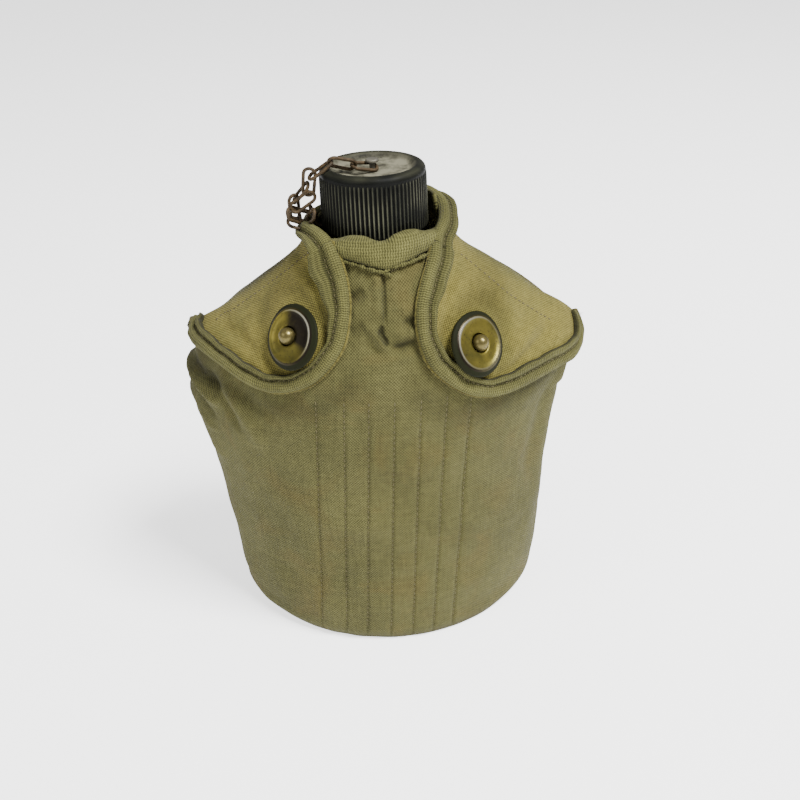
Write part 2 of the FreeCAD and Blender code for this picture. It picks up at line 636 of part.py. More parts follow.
# ---------------------------------------------------------------------- model
def main():
    os.makedirs("parts", exist_ok=True)
    lower, upper = make_bottle()
    save("bottle_lower_shell", lower)
    save("bottle_upper_shell", upper)
    save("bottle_neck", make_neck())
    save("neck_collar", make_collar())
    save("cap_shell", make_cap())
    save("cap_gasket", make_gasket())
    pin, washer = make_pin()
    save("cap_pin", pin)
    save("cap_pin_washer", washer)
    for i, (centre, along, normal) in enumerate(LINKS):
        save("chain_link_%d" % (i + 1), make_link(centre, along, normal))

    bottom, front, front_binding, back, collar_binding = make_cover()
    liner_tools = []
    for side in ("left", "right"):
        canvas, lining, binding = make_flap(side)
        kit = make_fastener(side)
        for tool in ("flap_hole", "plate_seat", "back_seat"):
            canvas = canvas.cut(kit[tool])
        for tool in ("flap_hole", "back_seat", "under_seat"):
            lining = lining.cut(kit[tool])
        binding = binding.cut(kit["plate_seat"])
        front = front.cut(kit["panel_hole"]).cut(kit["panel_seat"])
        liner_tools.append(kit["liner_hole"])
        save(side + "_flap", one_solid(canvas))
        save(side + "_flap_lining", one_solid(lining))
        save(side + "_flap_binding", one_solid(binding))
        save(side + "_stud", kit["stud"])
        save(side + "_stud_washer", kit["washer"])
        save(side + "_socket", kit["socket"])
        save(side + "_socket_back_plate", kit["back_plate"])
    liner_bottom, liner_front, liner_back = make_liner(liner_tools)
    save("cover_bottom", bottom)
    save("cover_front", one_solid(front))
    save("cover_front_binding", one_solid(front_binding))
    save("cover_back", one_solid(back))
    save("cover_collar_binding", one_solid(collar_binding))
    save("liner_bottom", liner_bottom)
    save("liner_front", one_solid(liner_front))
    save("liner_back", one_solid(liner_back))
    save("hook_strap", make_strap())
    save("belt_hook", make_hook())


main()
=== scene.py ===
"""Looks of a belt canteen in a canvas cover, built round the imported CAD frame. Lengths are in millimetres."""
import json
import math

import bmesh
import bpy
import numpy as np
from mathutils import Matrix, Vector
from mathutils.bvhtree import BVHTree


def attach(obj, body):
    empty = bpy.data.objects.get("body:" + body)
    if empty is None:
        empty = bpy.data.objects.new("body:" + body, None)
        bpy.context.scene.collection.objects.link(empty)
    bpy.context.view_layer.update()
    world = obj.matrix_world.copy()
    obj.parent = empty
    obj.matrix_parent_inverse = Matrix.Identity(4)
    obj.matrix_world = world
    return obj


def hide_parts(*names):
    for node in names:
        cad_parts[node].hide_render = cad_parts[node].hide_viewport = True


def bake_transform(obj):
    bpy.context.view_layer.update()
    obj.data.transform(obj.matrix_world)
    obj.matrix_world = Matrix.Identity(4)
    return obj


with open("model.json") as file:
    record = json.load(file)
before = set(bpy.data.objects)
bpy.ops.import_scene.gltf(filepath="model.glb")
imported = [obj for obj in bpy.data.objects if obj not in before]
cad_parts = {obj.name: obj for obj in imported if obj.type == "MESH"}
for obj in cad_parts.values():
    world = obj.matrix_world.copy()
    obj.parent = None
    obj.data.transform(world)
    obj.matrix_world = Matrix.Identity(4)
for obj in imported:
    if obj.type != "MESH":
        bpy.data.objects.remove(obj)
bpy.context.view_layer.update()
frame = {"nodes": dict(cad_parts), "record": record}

MM = 0.001
ROOT = "bottle_and_cover"
RAY_START = 120.0             # in front of, or behind, all of the cover

# ------------------------------------------------------------------ cover form
# height, half width, front, back, bend, roundness, sideways shift
COVER = np.array([
    (0.0, 67.0, 41.0, 26.0, 20.0, 2.45, -1.2),
    (4.0, 70.2, 43.0, 28.5, 21.0, 2.50, -1.8),
    (12.0, 72.0, 44.0, 30.0, 22.0, 2.50, -2.0),
    (40.0, 74.6, 44.6, 30.5, 22.0, 2.45, -1.9),
    (80.0, 77.5, 45.0, 31.0, 22.0, 2.45, -3.0),
    (106.0, 81.0, 45.0, 31.0, 22.0, 2.45, -3.5),
    (122.0, 82.6, 44.8, 31.0, 21.5, 2.45, -1.2),
    (135.0, 78.4, 44.0, 31.0, 20.0, 2.40, 0.4),
    (150.0, 62.8, 40.0, 29.0, 16.0, 2.25, 1.3),
    (163.0, 46.0, 34.5, 27.0, 10.0, 2.10, 1.8),
    (174.0, 31.5, 29.0, 26.0, 4.0, 2.05, 1.2),
    (182.0, 26.0, 26.0, 25.0, 1.0, 2.00, 0.4),
    (188.0, 25.0, 25.0, 25.0, 0.0, 2.00, 0.0),
    (197.0, 25.0, 25.0, 25.0, 0.0, 2.00, 0.0),
])


def smooth_column(zs, vals):
    """A smooth curve through (zs, vals): cubic Hermite with finite-difference slopes."""
    slopes = np.gradient(vals, zs)

    def at(z):
        z = np.clip(z, zs[0], zs[-1])
        i = np.clip(np.searchsorted(zs, z) - 1, 0, len(zs) - 2)
        h = zs[i + 1] - zs[i]
        t = (z - zs[i]) / h
        a = 2 * t ** 3 - 3 * t ** 2 + 1
        b = t ** 3 - 2 * t ** 2 + t
        c = -2 * t ** 3 + 3 * t ** 2
        d = t ** 3 - t ** 2
        return a * vals[i] + b * h * slopes[i] + c * vals[i + 1] + d * h * slopes[i + 1]
    return at


COLUMNS = [smooth_column(COVER[:, 0], COVER[:, k]) for k in range(1, 7)]


def half_section(z, off):
    """Right half of the cover's outline at height z, from the front centre to the back centre."""
    half_w, front, back, bend, power, shift = [c(z) for c in COLUMNS]
    half_w, half_d, mid = half_w + off, (front + back) / 2 + off, (back - front) / 2
    a = np.linspace(-np.pi / 2, np.pi / 2, 241)
    c, s = np.cos(a), np.sin(a)
    x = half_w * np.abs(c) ** (2 / power)
    y = mid + half_d * np.sign(s) * np.abs(s) ** (2 / power) + bend * (x / half_w) ** 2
    return x, y, shift


def section_row(z, off, seam_y, s, back):
    """Points along the front or the back part of the outline at height z; s runs from -1 to 1."""
    count = len(s)
    x, y, shift = half_section(z, off)
    seg = np.hypot(np.diff(x), np.diff(y))
    run = np.concatenate([[0], np.cumsum(seg)])
    cut = np.argmax((y > seam_y) & (np.arange(len(y)) > len(y) // 3))
    cut = max(int(cut), 5)
    seam = run[cut]
    total = run[-1]
    if back:
        at = total - np.abs(s) * (total - seam)
        side = -np.sign(s)
    else:
        at = np.abs(s) * seam
        side = np.sign(s)
    px = np.interp(at, run, x) * np.where(side == 0, 1, side)
    py = np.interp(at, run, y)
    arc = np.where(side == 0, 0, side) * (total - at if back else at)
    return np.stack([px + shift, py, np.full(count, float(z))], 1), arc


def seam_y_at(z):
    """Where the front and back panels meet."""
    return np.interp(z, [0, 130, 186], [15, 15, 3])


def grid_normals(P):
    """Outward normals of a grid of points whose rows rise and whose columns run to the right."""
    du = np.gradient(P, axis=1)
    dv = np.gradient(P, axis=0)
    n = np.cross(du, dv)
    return n / np.maximum(np.linalg.norm(n, axis=2, keepdims=True), 1e-9)


def run_length(points):
    """Distance along a line of points, from 0."""
    return np.concatenate([[0], np.cumsum(np.linalg.norm(np.diff(points, axis=0), axis=1))])


def carry_frame(path, normals):
    """Unit tangents along a path, and the normals turned square to them."""
    tangent = np.gradient(path, axis=0)
    tangent /= np.linalg.norm(tangent, axis=1, keepdims=True)
    normals = normals - tangent * np.sum(normals * tangent, 1, keepdims=True)
    return tangent, normals / np.linalg.norm(normals, axis=1, keepdims=True)


# --------------------------------------------------------------- mesh builders
def mesh_object(name, verts, faces, weave=None, attrs=None, mats=(), face_mat=None):
    """A mesh object from points in mm. weave holds cloth coordinates in mm, attrs further point values."""
    mesh = bpy.data.meshes.new(name)
    mesh.from_pydata((np.asarray(verts, float) * MM).tolist(), [], faces)
    if weave is not None:
        layer = mesh.attributes.new("weave", "FLOAT_VECTOR", "POINT")
        flat = np.zeros((len(verts), 3), np.float32)
        flat[:, :2] = weave
        layer.data.foreach_set("vector", flat.ravel())
    for key, vals in (attrs or {}).items():
        layer = mesh.attributes.new(key, "FLOAT", "POINT")
        layer.data.foreach_set("value", np.asarray(vals, np.float32).ravel())
    for m in mats:
        mesh.materials.append(m)
    if face_mat is not None:
        mesh.polygons.foreach_set("material_index", np.asarray(face_mat, np.int32))
    mesh.polygons.foreach_set("use_smooth", [True] * len(mesh.polygons))
    mesh.validate()
    mesh.update()
    obj = bpy.data.objects.new(name, mesh)
    bpy.context.scene.collection.objects.link(obj)
    return obj


def grid_faces(rows, cols, wrap_cols=False, flip=False, base=0):
    """Faces of a grid of points, whose numbers start at base."""
    faces = []
    last = cols if wrap_cols else cols - 1
    for r in range(rows - 1):
        for c in range(last):
            a = base + r * cols + c
            b = base + r * cols + (c + 1) % cols
            q = (a, b, b + cols, a + cols)
            faces.append(q[::-1] if flip else q)
    return faces


def shell_object(name, P, N, uv, thick, mats, attrs=None):
    """A cloth panel: the grid P is its outer face, and a second face lies thick below it along N."""
    rows, cols = P.shape[:2]
    inner = P - N * (thick if np.isscalar(thick) else thick[..., None])
    mid = (P + inner) / 2
    verts = [P.reshape(-1, 3), inner.reshape(-1, 3)]
    count = rows * cols
    faces = grid_faces(rows, cols) + grid_faces(rows, cols, flip=True, base=count)
    mat = [0] * ((rows - 1) * (cols - 1)) + [1 if len(mats) > 1 else 0] * ((rows - 1) * (cols - 1))
    loop = ([(0, c) for c in range(cols)] + [(r, cols - 1) for r in range(1, rows)]
            + [(rows - 1, c) for c in range(cols - 2, -1, -1)] + [(r, 0) for r in range(rows - 2, 0, -1)])
    ids = [r * cols + c for r, c in loop]
    out = []
    for r, c in loop:
        away = np.zeros(3)
        if c == 0:
            away -= P[r, 1] - P[r, 0]
        if c == cols - 1:
            away += P[r, -1] - P[r, -2]
        if r == 0:
            away -= P[1, c] - P[0, c]
        if r == rows - 1:
            away += P[-1, c] - P[-2, c]
        away = away / max(np.linalg.norm(away), 1e-9)
        out.append(mid[r, c] + away * 0.35 * np.linalg.norm(P[r, c] - inner[r, c]))
    start = 2 * count
    verts.append(np.array(out))
    n = len(ids)
    for k in range(n):
        j = (k + 1) % n
        faces.append((ids[j], ids[k], start + k, start + j))
        faces.append((start + j, start + k, count + ids[k], count + ids[j]))
        mat += [0, 0]
    weave = np.concatenate([uv.reshape(-1, 2), uv.reshape(-1, 2), uv.reshape(-1, 2)[ids]])
    extra = {}
    for key, v in (attrs or {}).items():
        v = v.reshape(-1)
        extra[key] = np.concatenate([v, v, v[ids]])
    return mesh_object(name, np.concatenate(verts), faces, weave, extra, mats, mat)


def close_ends(pts, uv, tangent, faces, reach, flip):
    """Closes a swept section with a point beyond each end. Returns the points and their cloth coordinates."""
    rows, k = pts.shape[:2]
    verts, weave = pts.reshape(-1, 3), uv.reshape(-1, 2)
    for end, sense in ((0, -1), (rows - 1, 1)):
        verts = np.vstack([verts, pts[end].mean(0) + tangent[end] * sense * reach])
        weave = np.vstack([weave, uv[end].mean(0)])
        for c in range(k):
            a, b = end * k + c, end * k + (c + 1) % k
            faces.append((a, b, len(verts) - 1) if (end == 0) == flip else (b, a, len(verts) - 1))
    return verts, weave


def ring_faces(rings, count):
    """Faces between closed rings of points, the last ring joined to the first."""
    faces = []
    for r in range(rings):
        here, there = r * count, (r + 1) % rings * count
        for i in range(count):
            j = (i + 1) % count
            faces.append((here + i, here + j, there + j, there + i))
    return faces


def turn_round(count):
    """Even angles once round a circle."""
    return np.linspace(0, 2 * np.pi, count + 1)[:-1]


def sweep_object(name, path, normals, section, mats, scale):
    """A closed section (e, n) carried along path. n runs along the normals and e across the path."""
    path, normals = np.asarray(path, float), np.asarray(normals, float)
    tangent, normals = carry_frame(path, normals)
    across = np.cross(normals, tangent)
    section = np.asarray(section, float)
    k, rows = len(section), len(path)
    pts = (path[:, None, :] + across[:, None, :] * (section[None, :, 0:1] * scale[:, None, None])
           + normals[:, None, :] * (section[None, :, 1:2] * scale[:, None, None]))
    uv = np.stack(np.meshgrid(run_length(section), run_length(path)), -1)
    faces = grid_faces(rows, k, wrap_cols=True, flip=True)
    verts, weave = close_ends(pts, uv, tangent, faces, 0.6, True)
    return mesh_object(name, verts, faces, weave, None, mats)


def resample(points, step=None, count=None):
    """Even points along a smooth curve through the given points."""
    pts = np.asarray(points, float)
    chord = run_length(pts)
    cols = [smooth_column(chord, pts[:, k]) for k in range(pts.shape[1])]
    fine = np.linspace(0, chord[-1], 600)
    curve = np.stack([c(fine) for c in cols], 1)
    run = run_length(curve)
    if count is None:
        count = max(3, int(round(run[-1] / step)) + 1)
    at = np.linspace(0, run[-1], count)
    return np.stack([np.interp(at, run, curve[:, k]) for k in range(pts.shape[1])], 1)


def near_line(X, Z, pts):
    """Distance to a polyline seen from the front, and the place along it from 0 to 1."""
    pts = np.asarray(pts, float)
    best = np.full(X.shape, 1e9)
    where = np.zeros(X.shape)
    lens = np.hypot(*np.diff(pts, axis=0).T)
    total, done = lens.sum(), 0.0
    for (x0, z0), (x1, z1), ln in zip(pts[:-1], pts[1:], lens):
        dx, dz = (x1 - x0) / ln, (z1 - z0) / ln
        t = np.clip((X - x0) * dx + (Z - z0) * dz, 0, ln)
        d = np.hypot(X - x0 - t * dx, Z - z0 - t * dz)
        closer = d < best
        best = np.where(closer, d, best)
        where = np.where(closer, (done + t) / total, where)
        done += ln
    return best, where


def fold(X, Z, pts, height, width, ends=0.25):
    """A soft ridge (or a dent, where height is negative) along a line, dying out at its ends."""
    d, t = near_line(X, Z, pts)
    taper = np.clip(np.minimum(t, 1 - t) / ends, 0, 1)
    taper = taper * taper * (3 - 2 * taper)
    return height * taper * np.exp(-(d / width) ** 2)


def lumps(P, size, seed):
    """Smooth random relief between -1 and 1."""
    r = np.random.default_rng(seed)
    total = np.zeros(P.shape[:-1])
    for _ in range(14):
        k = r.normal(size=3) / size * 1.6
        total += np.sin(P @ k + r.uniform(0, 2 * np.pi))
    return total / 5.0


# ------------------------------------------------------------------ materials
def new_material(name):
    """A material, its node helper and its surface node."""
    m = bpy.data.materials.new(name)
    m.use_nodes = True
    tree = m.node_tree
    return m, Nodes(tree), tree.nodes["Principled BSDF"]


def set_inputs(node, **values):
    """Sets a node's inputs by name, with underscores for spaces."""
    for key, value in values.items():
        node.inputs[key.replace("_", " ")].default_value = value


class Nodes:
    """Short ways to add and join shader nodes."""

    def __init__(self, tree):
        self.t = tree

    def add(self, kind, **props):
        n = self.t.nodes.new(kind)
        for k, v in props.items():
            setattr(n, k, v)
        return n

    def link(self, a, b):
        self.t.links.new(a, b)

    def math(self, op, a, b=None, clamp=False):
        n = self.add("ShaderNodeMath", operation=op, use_clamp=clamp)
        for i, v in enumerate((a, b)):
            if v is None:
                continue
            if isinstance(v, (int, float)):
                n.inputs[i].default_value = v
            else:
                self.link(v, n.inputs[i])
        return n.outputs[0]

    def plus(self, a, b, clamp=False):
        return self.math("ADD", a, b, clamp)

    def times(self, a, b, clamp=False):
        return self.math("MULTIPLY", a, b, clamp)

    def about(self, value, middle, gain, clamp=False):
        """(value - middle) * gain"""
        return self.times(self.math("SUBTRACT", value, middle), gain, clamp)

    def noise(self, vec, scale, detail, rough=0.55, distortion=0.0):
        n = self.add("ShaderNodeTexNoise")
        set_inputs(n, Scale=scale, Detail=detail, Roughness=rough, Distortion=distortion)
        self.link(vec, n.inputs["Vector"])
        return n.outputs["Fac"]

    def mix(self, fac, a, b, kind="MIX"):
        n = self.add("ShaderNodeMix", data_type="RGBA", blend_type=kind)
        for sock, v in ((n.inputs[0], fac), (n.inputs[6], a), (n.inputs[7], b)):
            if isinstance(v, (int, float)):
                sock.default_value = v
            elif isinstance(v, tuple):
                sock.default_value = (*v, 1.0)
            else:
                self.link(v, sock)
        return n.outputs[2]

    def attribute(self, name, vector=False):
        n = self.add("ShaderNodeAttribute", attribute_name=name)
        return n.outputs["Vector"] if vector else n.outputs["Fac"]

    def combine(self, *parts, kind="ShaderNodeCombineXYZ"):
        n = self.add(kind)
        for i, v in enumerate(parts):
            self.link(v, n.inputs[i])
        return n.outputs[0]

    def place(self):
        return self.add("ShaderNodeTexCoord").outputs["Object"]

    def bump(self, height, strength, distance, normal=None):
        n = self.add("ShaderNodeBump")
        set_inputs(n, Strength=strength, Distance=distance)
        self.link(height, n.inputs["Height"])
        if normal is not None:
            self.link(normal, n.inputs["Normal"])
        return n.outputs["Normal"]


def cloth_material(name, light, dark, pitch, stain=None, relief=0.30, ribs=False, rear=None):
    """Woven cloth: threads from the weave coordinates, with faded and dirty patches, and darkening that holds
    both dirt and painted shade.
    """
    m, n, bsdf = new_material(name)
    sep = n.add("ShaderNodeSeparateXYZ")
    n.link(n.attribute("weave", True), sep.inputs[0])
    across, along = sep.outputs[0], sep.outputs[1]
    place = n.place()
    wobble = n.about(n.noise(place, 260.0, 2.0), 0.5, 1.3)
    u = n.plus(n.times(across, math.pi / pitch[0]), wobble)
    v = n.plus(n.times(along, math.pi / pitch[1]), wobble)
    if ribs:
        # tape: fine ribs across its length, broken into short slanting floats
        lean = n.times(n.math("PINGPONG", across, 1.1), math.pi * 0.55)
        rib = n.math("SINE", n.plus(n.times(v, 2.0), lean))
        wale = n.math("SINE", n.times(u, 1.6))
        weave = n.plus(n.times(rib, 0.75), n.times(wale, 0.35))
    else:
        weave = n.times(n.math("SINE", u), n.math("SINE", v))
    height = n.plus(n.times(weave, 0.5), 0.5)
    warp = n.combine(n.times(across, 1.1), n.times(along, 0.07))
    weft = n.combine(n.times(across, 0.07), n.times(along, 1.1))
    yarn = n.plus(n.noise(warp, 1.0, 2.0), n.noise(weft, 1.0, 2.0))
    fibre = n.noise(place, 2600.0, 2.0)
    slub = n.noise(place, 420.0, 3.0, 0.6)
    fade = n.noise(place, 26.0, 4.0, 0.6, 0.4)
    spread = n.plus(n.about(fade, 0.5, 1.5), 0.5, True)
    base = n.mix(spread, dark, light)
    if stain is not None:
        blot = n.noise(place, 44.0, 3.0, 0.6, 0.6)
        blot = n.about(blot, 0.50, 3.4, True)
        base = n.mix(n.times(blot, 0.75), base, stain)
    if rear is not None:
        base = n.mix(n.attribute("rear"), base, rear)
    wear_and_highlight = n.attribute("wear_and_highlight")
    base = n.mix(n.times(wear_and_highlight, 0.55, True), base, tuple(min(1.0, c * 1.45) for c in light))
    # darkening from a point value: real dirt, and painted shade in creases, grooves and under edges
    grime_and_shade = n.attribute("grime_and_shade")
    base = n.mix(n.times(grime_and_shade, 0.8, True), base, tuple(c * 0.30 for c in dark))
    shade = n.plus(n.times(height, 0.85), 0.50)
    shade = n.plus(shade, n.about(slub, 0.5, 0.55))
    shade = n.plus(shade, n.times(n.math("SUBTRACT", yarn, 1.0), 0.0 if ribs else 0.45))
    shade = n.plus(shade, n.about(fibre, 0.5, 0.30))
    grey = n.combine(shade, shade, shade, kind="ShaderNodeCombineColor")
    colour = n.mix(1.0, base, grey, "MULTIPLY")
    n.link(colour, bsdf.inputs["Base Color"])
    relief_h = n.plus(height, n.times(fibre, 0.5))
    n.link(n.bump(relief_h, 0.8, relief * MM, n.bump(slub, 0.35, 0.4 * MM)), bsdf.inputs["Normal"])
    set_inputs(bsdf, Roughness=0.93, Sheen_Weight=0.03, Sheen_Roughness=0.6, Specular_IOR_Level=0.08)
    return m


def metal_material(name, light, dark, metallic, rough, scale, spots=None, rim=None, bump=0.05, gloss=0.5,
                   stain=(0.013, 0.010, 0.006)):
    """Worn metal: two tones in cloudy patches, darker pits, and bright places from the wear value: worn metal,
    and on the sockets' crests a painted highlight as well.
    """
    m, n, bsdf = new_material(name)
    place = n.place()
    cloud = n.noise(place, scale, 4.0, 0.6, 0.3)
    fine = n.noise(place, scale * 9, 3.0, 0.6)
    fac = n.plus(n.about(cloud, 0.5, 2.2), 0.5, True)
    colour = n.mix(fac, dark, light)
    if spots is not None:
        pit = n.about(fine, 0.58, 7.0, True)
        colour = n.mix(pit, colour, spots)
    stained = n.times(n.attribute("stain"), n.plus(n.times(cloud, 1.6), 0.35), True)
    colour = n.mix(stained, colour, stain)
    # bright worn places, with a painted highlight on the sockets' crests
    if rim is not None:
        colour = n.mix(n.attribute("wear_and_highlight"), colour, rim)
    n.link(colour, bsdf.inputs["Base Color"])
    rgh = n.plus(n.times(fine, 0.25), rough - 0.12, True)
    n.link(rgh, bsdf.inputs["Roughness"])
    set_inputs(bsdf, Metallic=metallic, Specular_IOR_Level=gloss)
    n.link(n.bump(fine, 0.5, bump * MM), bsdf.inputs["Normal"])
    return m


def cap_material():
    """Black moulding, worn grey on the ribs' crests, a painted highlight round the top rim, and dust in the
    dish.
    """
    m, n, bsdf = new_material("cap_moulding")
    place = n.place()
    cloud = n.noise(place, 120.0, 4.0, 0.6)
    fine = n.noise(place, 1400.0, 3.0, 0.6)
    streak = n.noise(place, 55.0, 2.0)
    base = n.mix(cloud, (0.0018, 0.0020, 0.0017), (0.0050, 0.0054, 0.0046))
    # lighter on the ribs' crests, which is wear, and round the top rim, which is a painted highlight
    crest = n.times(n.attribute("wear_and_highlight"), n.plus(n.about(streak, 0.5, 3.0), 0.62), True)
    base = n.mix(crest, base, (0.072, 0.072, 0.046))
    dust = n.times(n.attribute("dust"), n.plus(n.about(cloud, 0.5, 4.2), 0.70), True)
    base = n.mix(dust, base, (0.150, 0.142, 0.100))
    speck = n.about(fine, 0.66, 9.0, True)
    base = n.mix(n.times(speck, 0.35), base, (0.07, 0.068, 0.055))
    n.link(base, bsdf.inputs["Base Color"])
    set_inputs(bsdf, Specular_IOR_Level=0.05)
    rgh = n.plus(n.times(cloud, 0.25), 0.36)
    n.link(n.plus(rgh, n.times(n.attribute("dust"), 0.25), True), bsdf.inputs["Roughness"])
    n.link(n.bump(fine, 0.4, 0.06 * MM), bsdf.inputs["Normal"])
    return m


def plain_textured(name, light, dark, rough, scale, bump=0.1):
    """Cloth, thread or rubber seen too small for a weave: two tones and a fine grain."""
    m, n, bsdf = new_material(name)
    place = n.place()
    cloud = n.noise(place, scale, 4.0, 0.6)
    fine = n.noise(place, scale * 12, 2.0)
    n.link(n.mix(cloud, dark, light), bsdf.inputs["Base Color"])
    n.link(n.bump(fine, 0.5, bump * MM), bsdf.inputs["Normal"])
    n.link(n.plus(n.times(fine, 0.2), rough - 0.1, True), bsdf.inputs["Roughness"])
    return m


CANVAS = cloth_material("canvas_cover", (0.088, 0.083, 0.0285), (0.050, 0.048, 0.0160), pitch=(0.60, 0.60),
                        stain=(0.082, 0.064, 0.0190))
FLAP = cloth_material("canvas_flap", (0.163, 0.138, 0.0325), (0.102, 0.089, 0.0220), pitch=(0.60, 0.60),
                      stain=(0.098, 0.094, 0.0260), rear=(0.078, 0.074, 0.0248))
TAPE = cloth_material("binding_tape", (0.096, 0.092, 0.0290), (0.050, 0.048, 0.0155), pitch=(0.85, 0.95),
                      ribs=True, relief=0.45)
LINING = cloth_material("flap_lining", (0.085, 0.072, 0.024), (0.055, 0.048, 0.016), pitch=(0.5, 0.5))
WEB = cloth_material("strap_webbing", (0.085, 0.072, 0.024), (0.050, 0.044, 0.015), pitch=(1.3, 0.9),
                     relief=0.45)
FELT = plain_textured("liner_felt", (0.20, 0.18, 0.14), (0.11, 0.10, 0.075), 0.95, 300.0, bump=0.4)
THREAD_DARK = plain_textured("old_thread", (0.080, 0.066, 0.030), (0.045, 0.036, 0.016), 0.9, 500.0)
THREAD = plain_textured("sewing_thread", (0.090, 0.078, 0.028), (0.055, 0.046, 0.016), 0.9, 500.0)
BRASS = metal_material("tarnished_brass", (0.150, 0.122, 0.022), (0.058, 0.052, 0.012), 0.75, 0.34, 110.0,
                       spots=(0.030, 0.022, 0.010), rim=(0.36, 0.35, 0.30), gloss=0.2)
OXIDE = metal_material("plate_oxide", (0.016, 0.016, 0.007), (0.005, 0.005, 0.003), 0.0, 0.62, 160.0,
                       spots=(0.034, 0.033, 0.011), gloss=0.05, stain=(0.008, 0.009, 0.0035))
STUD = metal_material("stud_brass", (0.150, 0.122, 0.040), (0.075, 0.062, 0.022), 0.75, 0.32, 200.0,
                      spots=(0.04, 0.028, 0.016), gloss=0.3)
RUST = metal_material("rusty_wire", (0.064, 0.042, 0.019), (0.014, 0.010, 0.006), 0.0, 0.62, 420.0,
                      spots=(0.110, 0.060, 0.019), bump=0.12, gloss=0.18)
PIN = metal_material("dusty_pin", (0.13, 0.12, 0.09), (0.06, 0.055, 0.045), 0.5, 0.6, 300.0)
STEEL = metal_material("blackened_steel", (0.12, 0.115, 0.105), (0.045, 0.043, 0.040), 0.9, 0.42, 200.0,
                       spots=(0.15, 0.09, 0.05))
ALU = metal_material("worn_aluminium", (0.62, 0.62, 0.60), (0.42, 0.42, 0.41), 1.0, 0.42, 60.0)
RUBBER = plain_textured("gasket_rubber", (0.07, 0.06, 0.05), (0.03, 0.028, 0.025), 0.8, 200.0)
CAP = cap_material()


def dress(node, *mats):
    """Gives a CAD node that stays in view its own material."""
    obj = frame["nodes"][node]
    obj.data.materials.clear()
    for m in mats:
        obj.data.materials.append(m)


# ---------------------------------------------------------------- base surface
COVER_TOP = 197.0
SHOULDER_Z = 134.0            # the cover narrows above this
CLOTH = 1.6                   # the cover cloth's thickness


def panel_grid(z_low, z_high, rows, cols, off=0.0, back=False, fine=False):
    """Grid of points over the front or the back panel, with cloth coordinates."""
    zs = np.linspace(z_low, z_high, rows)
    s = np.linspace(-1, 1, cols)
    if fine:
        # closer rows by the shoulders and closer columns in the middle
        half = int(rows * 0.5)
        zs = np.concatenate([np.linspace(z_low, SHOULDER_Z, half),
                             np.linspace(SHOULDER_Z, z_high, rows - half + 1)[1:]])
        s = s * (0.45 + 0.55 * s * s)
    P = np.zeros((rows, cols, 3))
    uv = np.zeros((rows, cols, 2))
    for i, z in enumerate(zs):
        P[i], uv[i, :, 0] = section_row(z, off, seam_y_at(z), s, back)
    uv[..., 1] = zs[:, None]
    return P, uv


def base_tree():
    """Search tree over the undented cover, with its faces, points and smooth normals."""
    Pf, _ = panel_grid(0, COVER_TOP, 150, 150)
    Pb, _ = panel_grid(0, COVER_TOP, 150, 110, back=True)
    verts, faces, norms = [], [], []
    base = 0
    for P in (Pf, Pb):
        rows, cols = P.shape[:2]
        verts.append(P.reshape(-1, 3))
        norms.append(grid_normals(P).reshape(-1, 3))
        faces += grid_faces(rows, cols, base=base)
        base += rows * cols
    verts = np.concatenate(verts)
    return BVHTree.FromPolygons(verts.tolist(), faces), faces, verts, np.concatenate(norms)


TREE, TREE_FACES, TREE_VERTS, TREE_NORMS = base_tree()


def snap(p):
    """Nearest point on the undented cover and the smooth outward normal there."""
    hit, _, index, _ = TREE.find_nearest(Vector(p))
    ids = list(TREE_FACES[index])
    w = 1.0 / (np.linalg.norm(TREE_VERTS[ids] - np.array(hit), axis=1) + 0.05)
    n = (TREE_NORMS[ids] * w[:, None]).sum(0)
    return np.array(hit), n / np.linalg.norm(n)


def snap_all(points):
    """snap() for an array of points."""
    pts, nrm = zip(*(snap(p) for p in np.asarray(points, float).reshape(-1, 3)))
    return np.array(pts), np.array(nrm)


# --------------------------------------------------------------------- stitches
def stitches(name, path, normals, pitch, mats, radius=0.22, lift=0.05):
    """Separate thread stitches along a line of points on the cloth."""
    path, normals = np.asarray(path, float), np.asarray(normals, float)
    run = run_length(path)
    count = max(1, int(run[-1] / pitch))
    length = pitch * 0.72
    verts, faces = [], []
    r = np.random.default_rng(int(run[-1] * 10) + 3)
    for i in range(count):
        s = (i + 0.5) * pitch + r.normal(0, 0.06)
        p = np.array([np.interp(s, run, path[:, k]) for k in range(3)])
        q = np.array([np.interp(s + 0.5, run, path[:, k]) for k in range(3)])
        n = np.array([np.interp(s, run, normals[:, k]) for k in range(3)])
        t = (q - p) / max(np.linalg.norm(q - p), 1e-6)
        n /= np.linalg.norm(n)
        b = np.cross(n, t)
        t = t + b * r.normal(0, 0.12)
        t /= np.linalg.norm(t)
        b = np.cross(n, t)
        base = len(verts)
        verts.append(p - t * length / 2 - n * 0.10)
        for along, rad in ((-0.28, 0.85), (0.0, 1.1), (0.28, 0.85)):
            for k in range(6):
                a = 2 * math.pi * k / 6
                verts.append(p + t * length * along + n * (lift + radius * rad * math.sin(a))
                             + b * radius * rad * math.cos(a))
        verts.append(p + t * length / 2 - n * 0.10)
        for k in range(6):
            j = (k + 1) % 6
            faces.append((base, base + 1 + j, base + 1 + k))
            for ring in range(2):
                o = base + 1 + ring * 6
                faces.append((o + k, o + j, o + 6 + j, o + 6 + k))
            faces.append((base + 13 + k, base + 13 + j, base + 19))
    return mesh_object(name, verts, faces, None, None, mats)


def put(obj, body, slot_name, *replaced, side=None):
    """Sets what a piece rides on, or with side only bakes its transform in, and hides its CAD nodes; slot_name
    is not used.
    """
    if side:
        bend(obj, side)
    else:
        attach(obj, body)
    if replaced:
        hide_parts(*replaced)
    return obj


# ------------------------------------------------------------------ front panel
# Stitch lines down the front: x at the upper and the lower of two heights.
LINE_HIGH, LINE_LOW = 113.0, 22.0
LINES = [(-26.8, -32.1), (-15.7, -20.9), (-6.0, -11.3), (4.1, -0.6), (14.4, 9.4), (24.5, 19.0), (34.2, 28.0)]
PANEL_TOP = 184.0


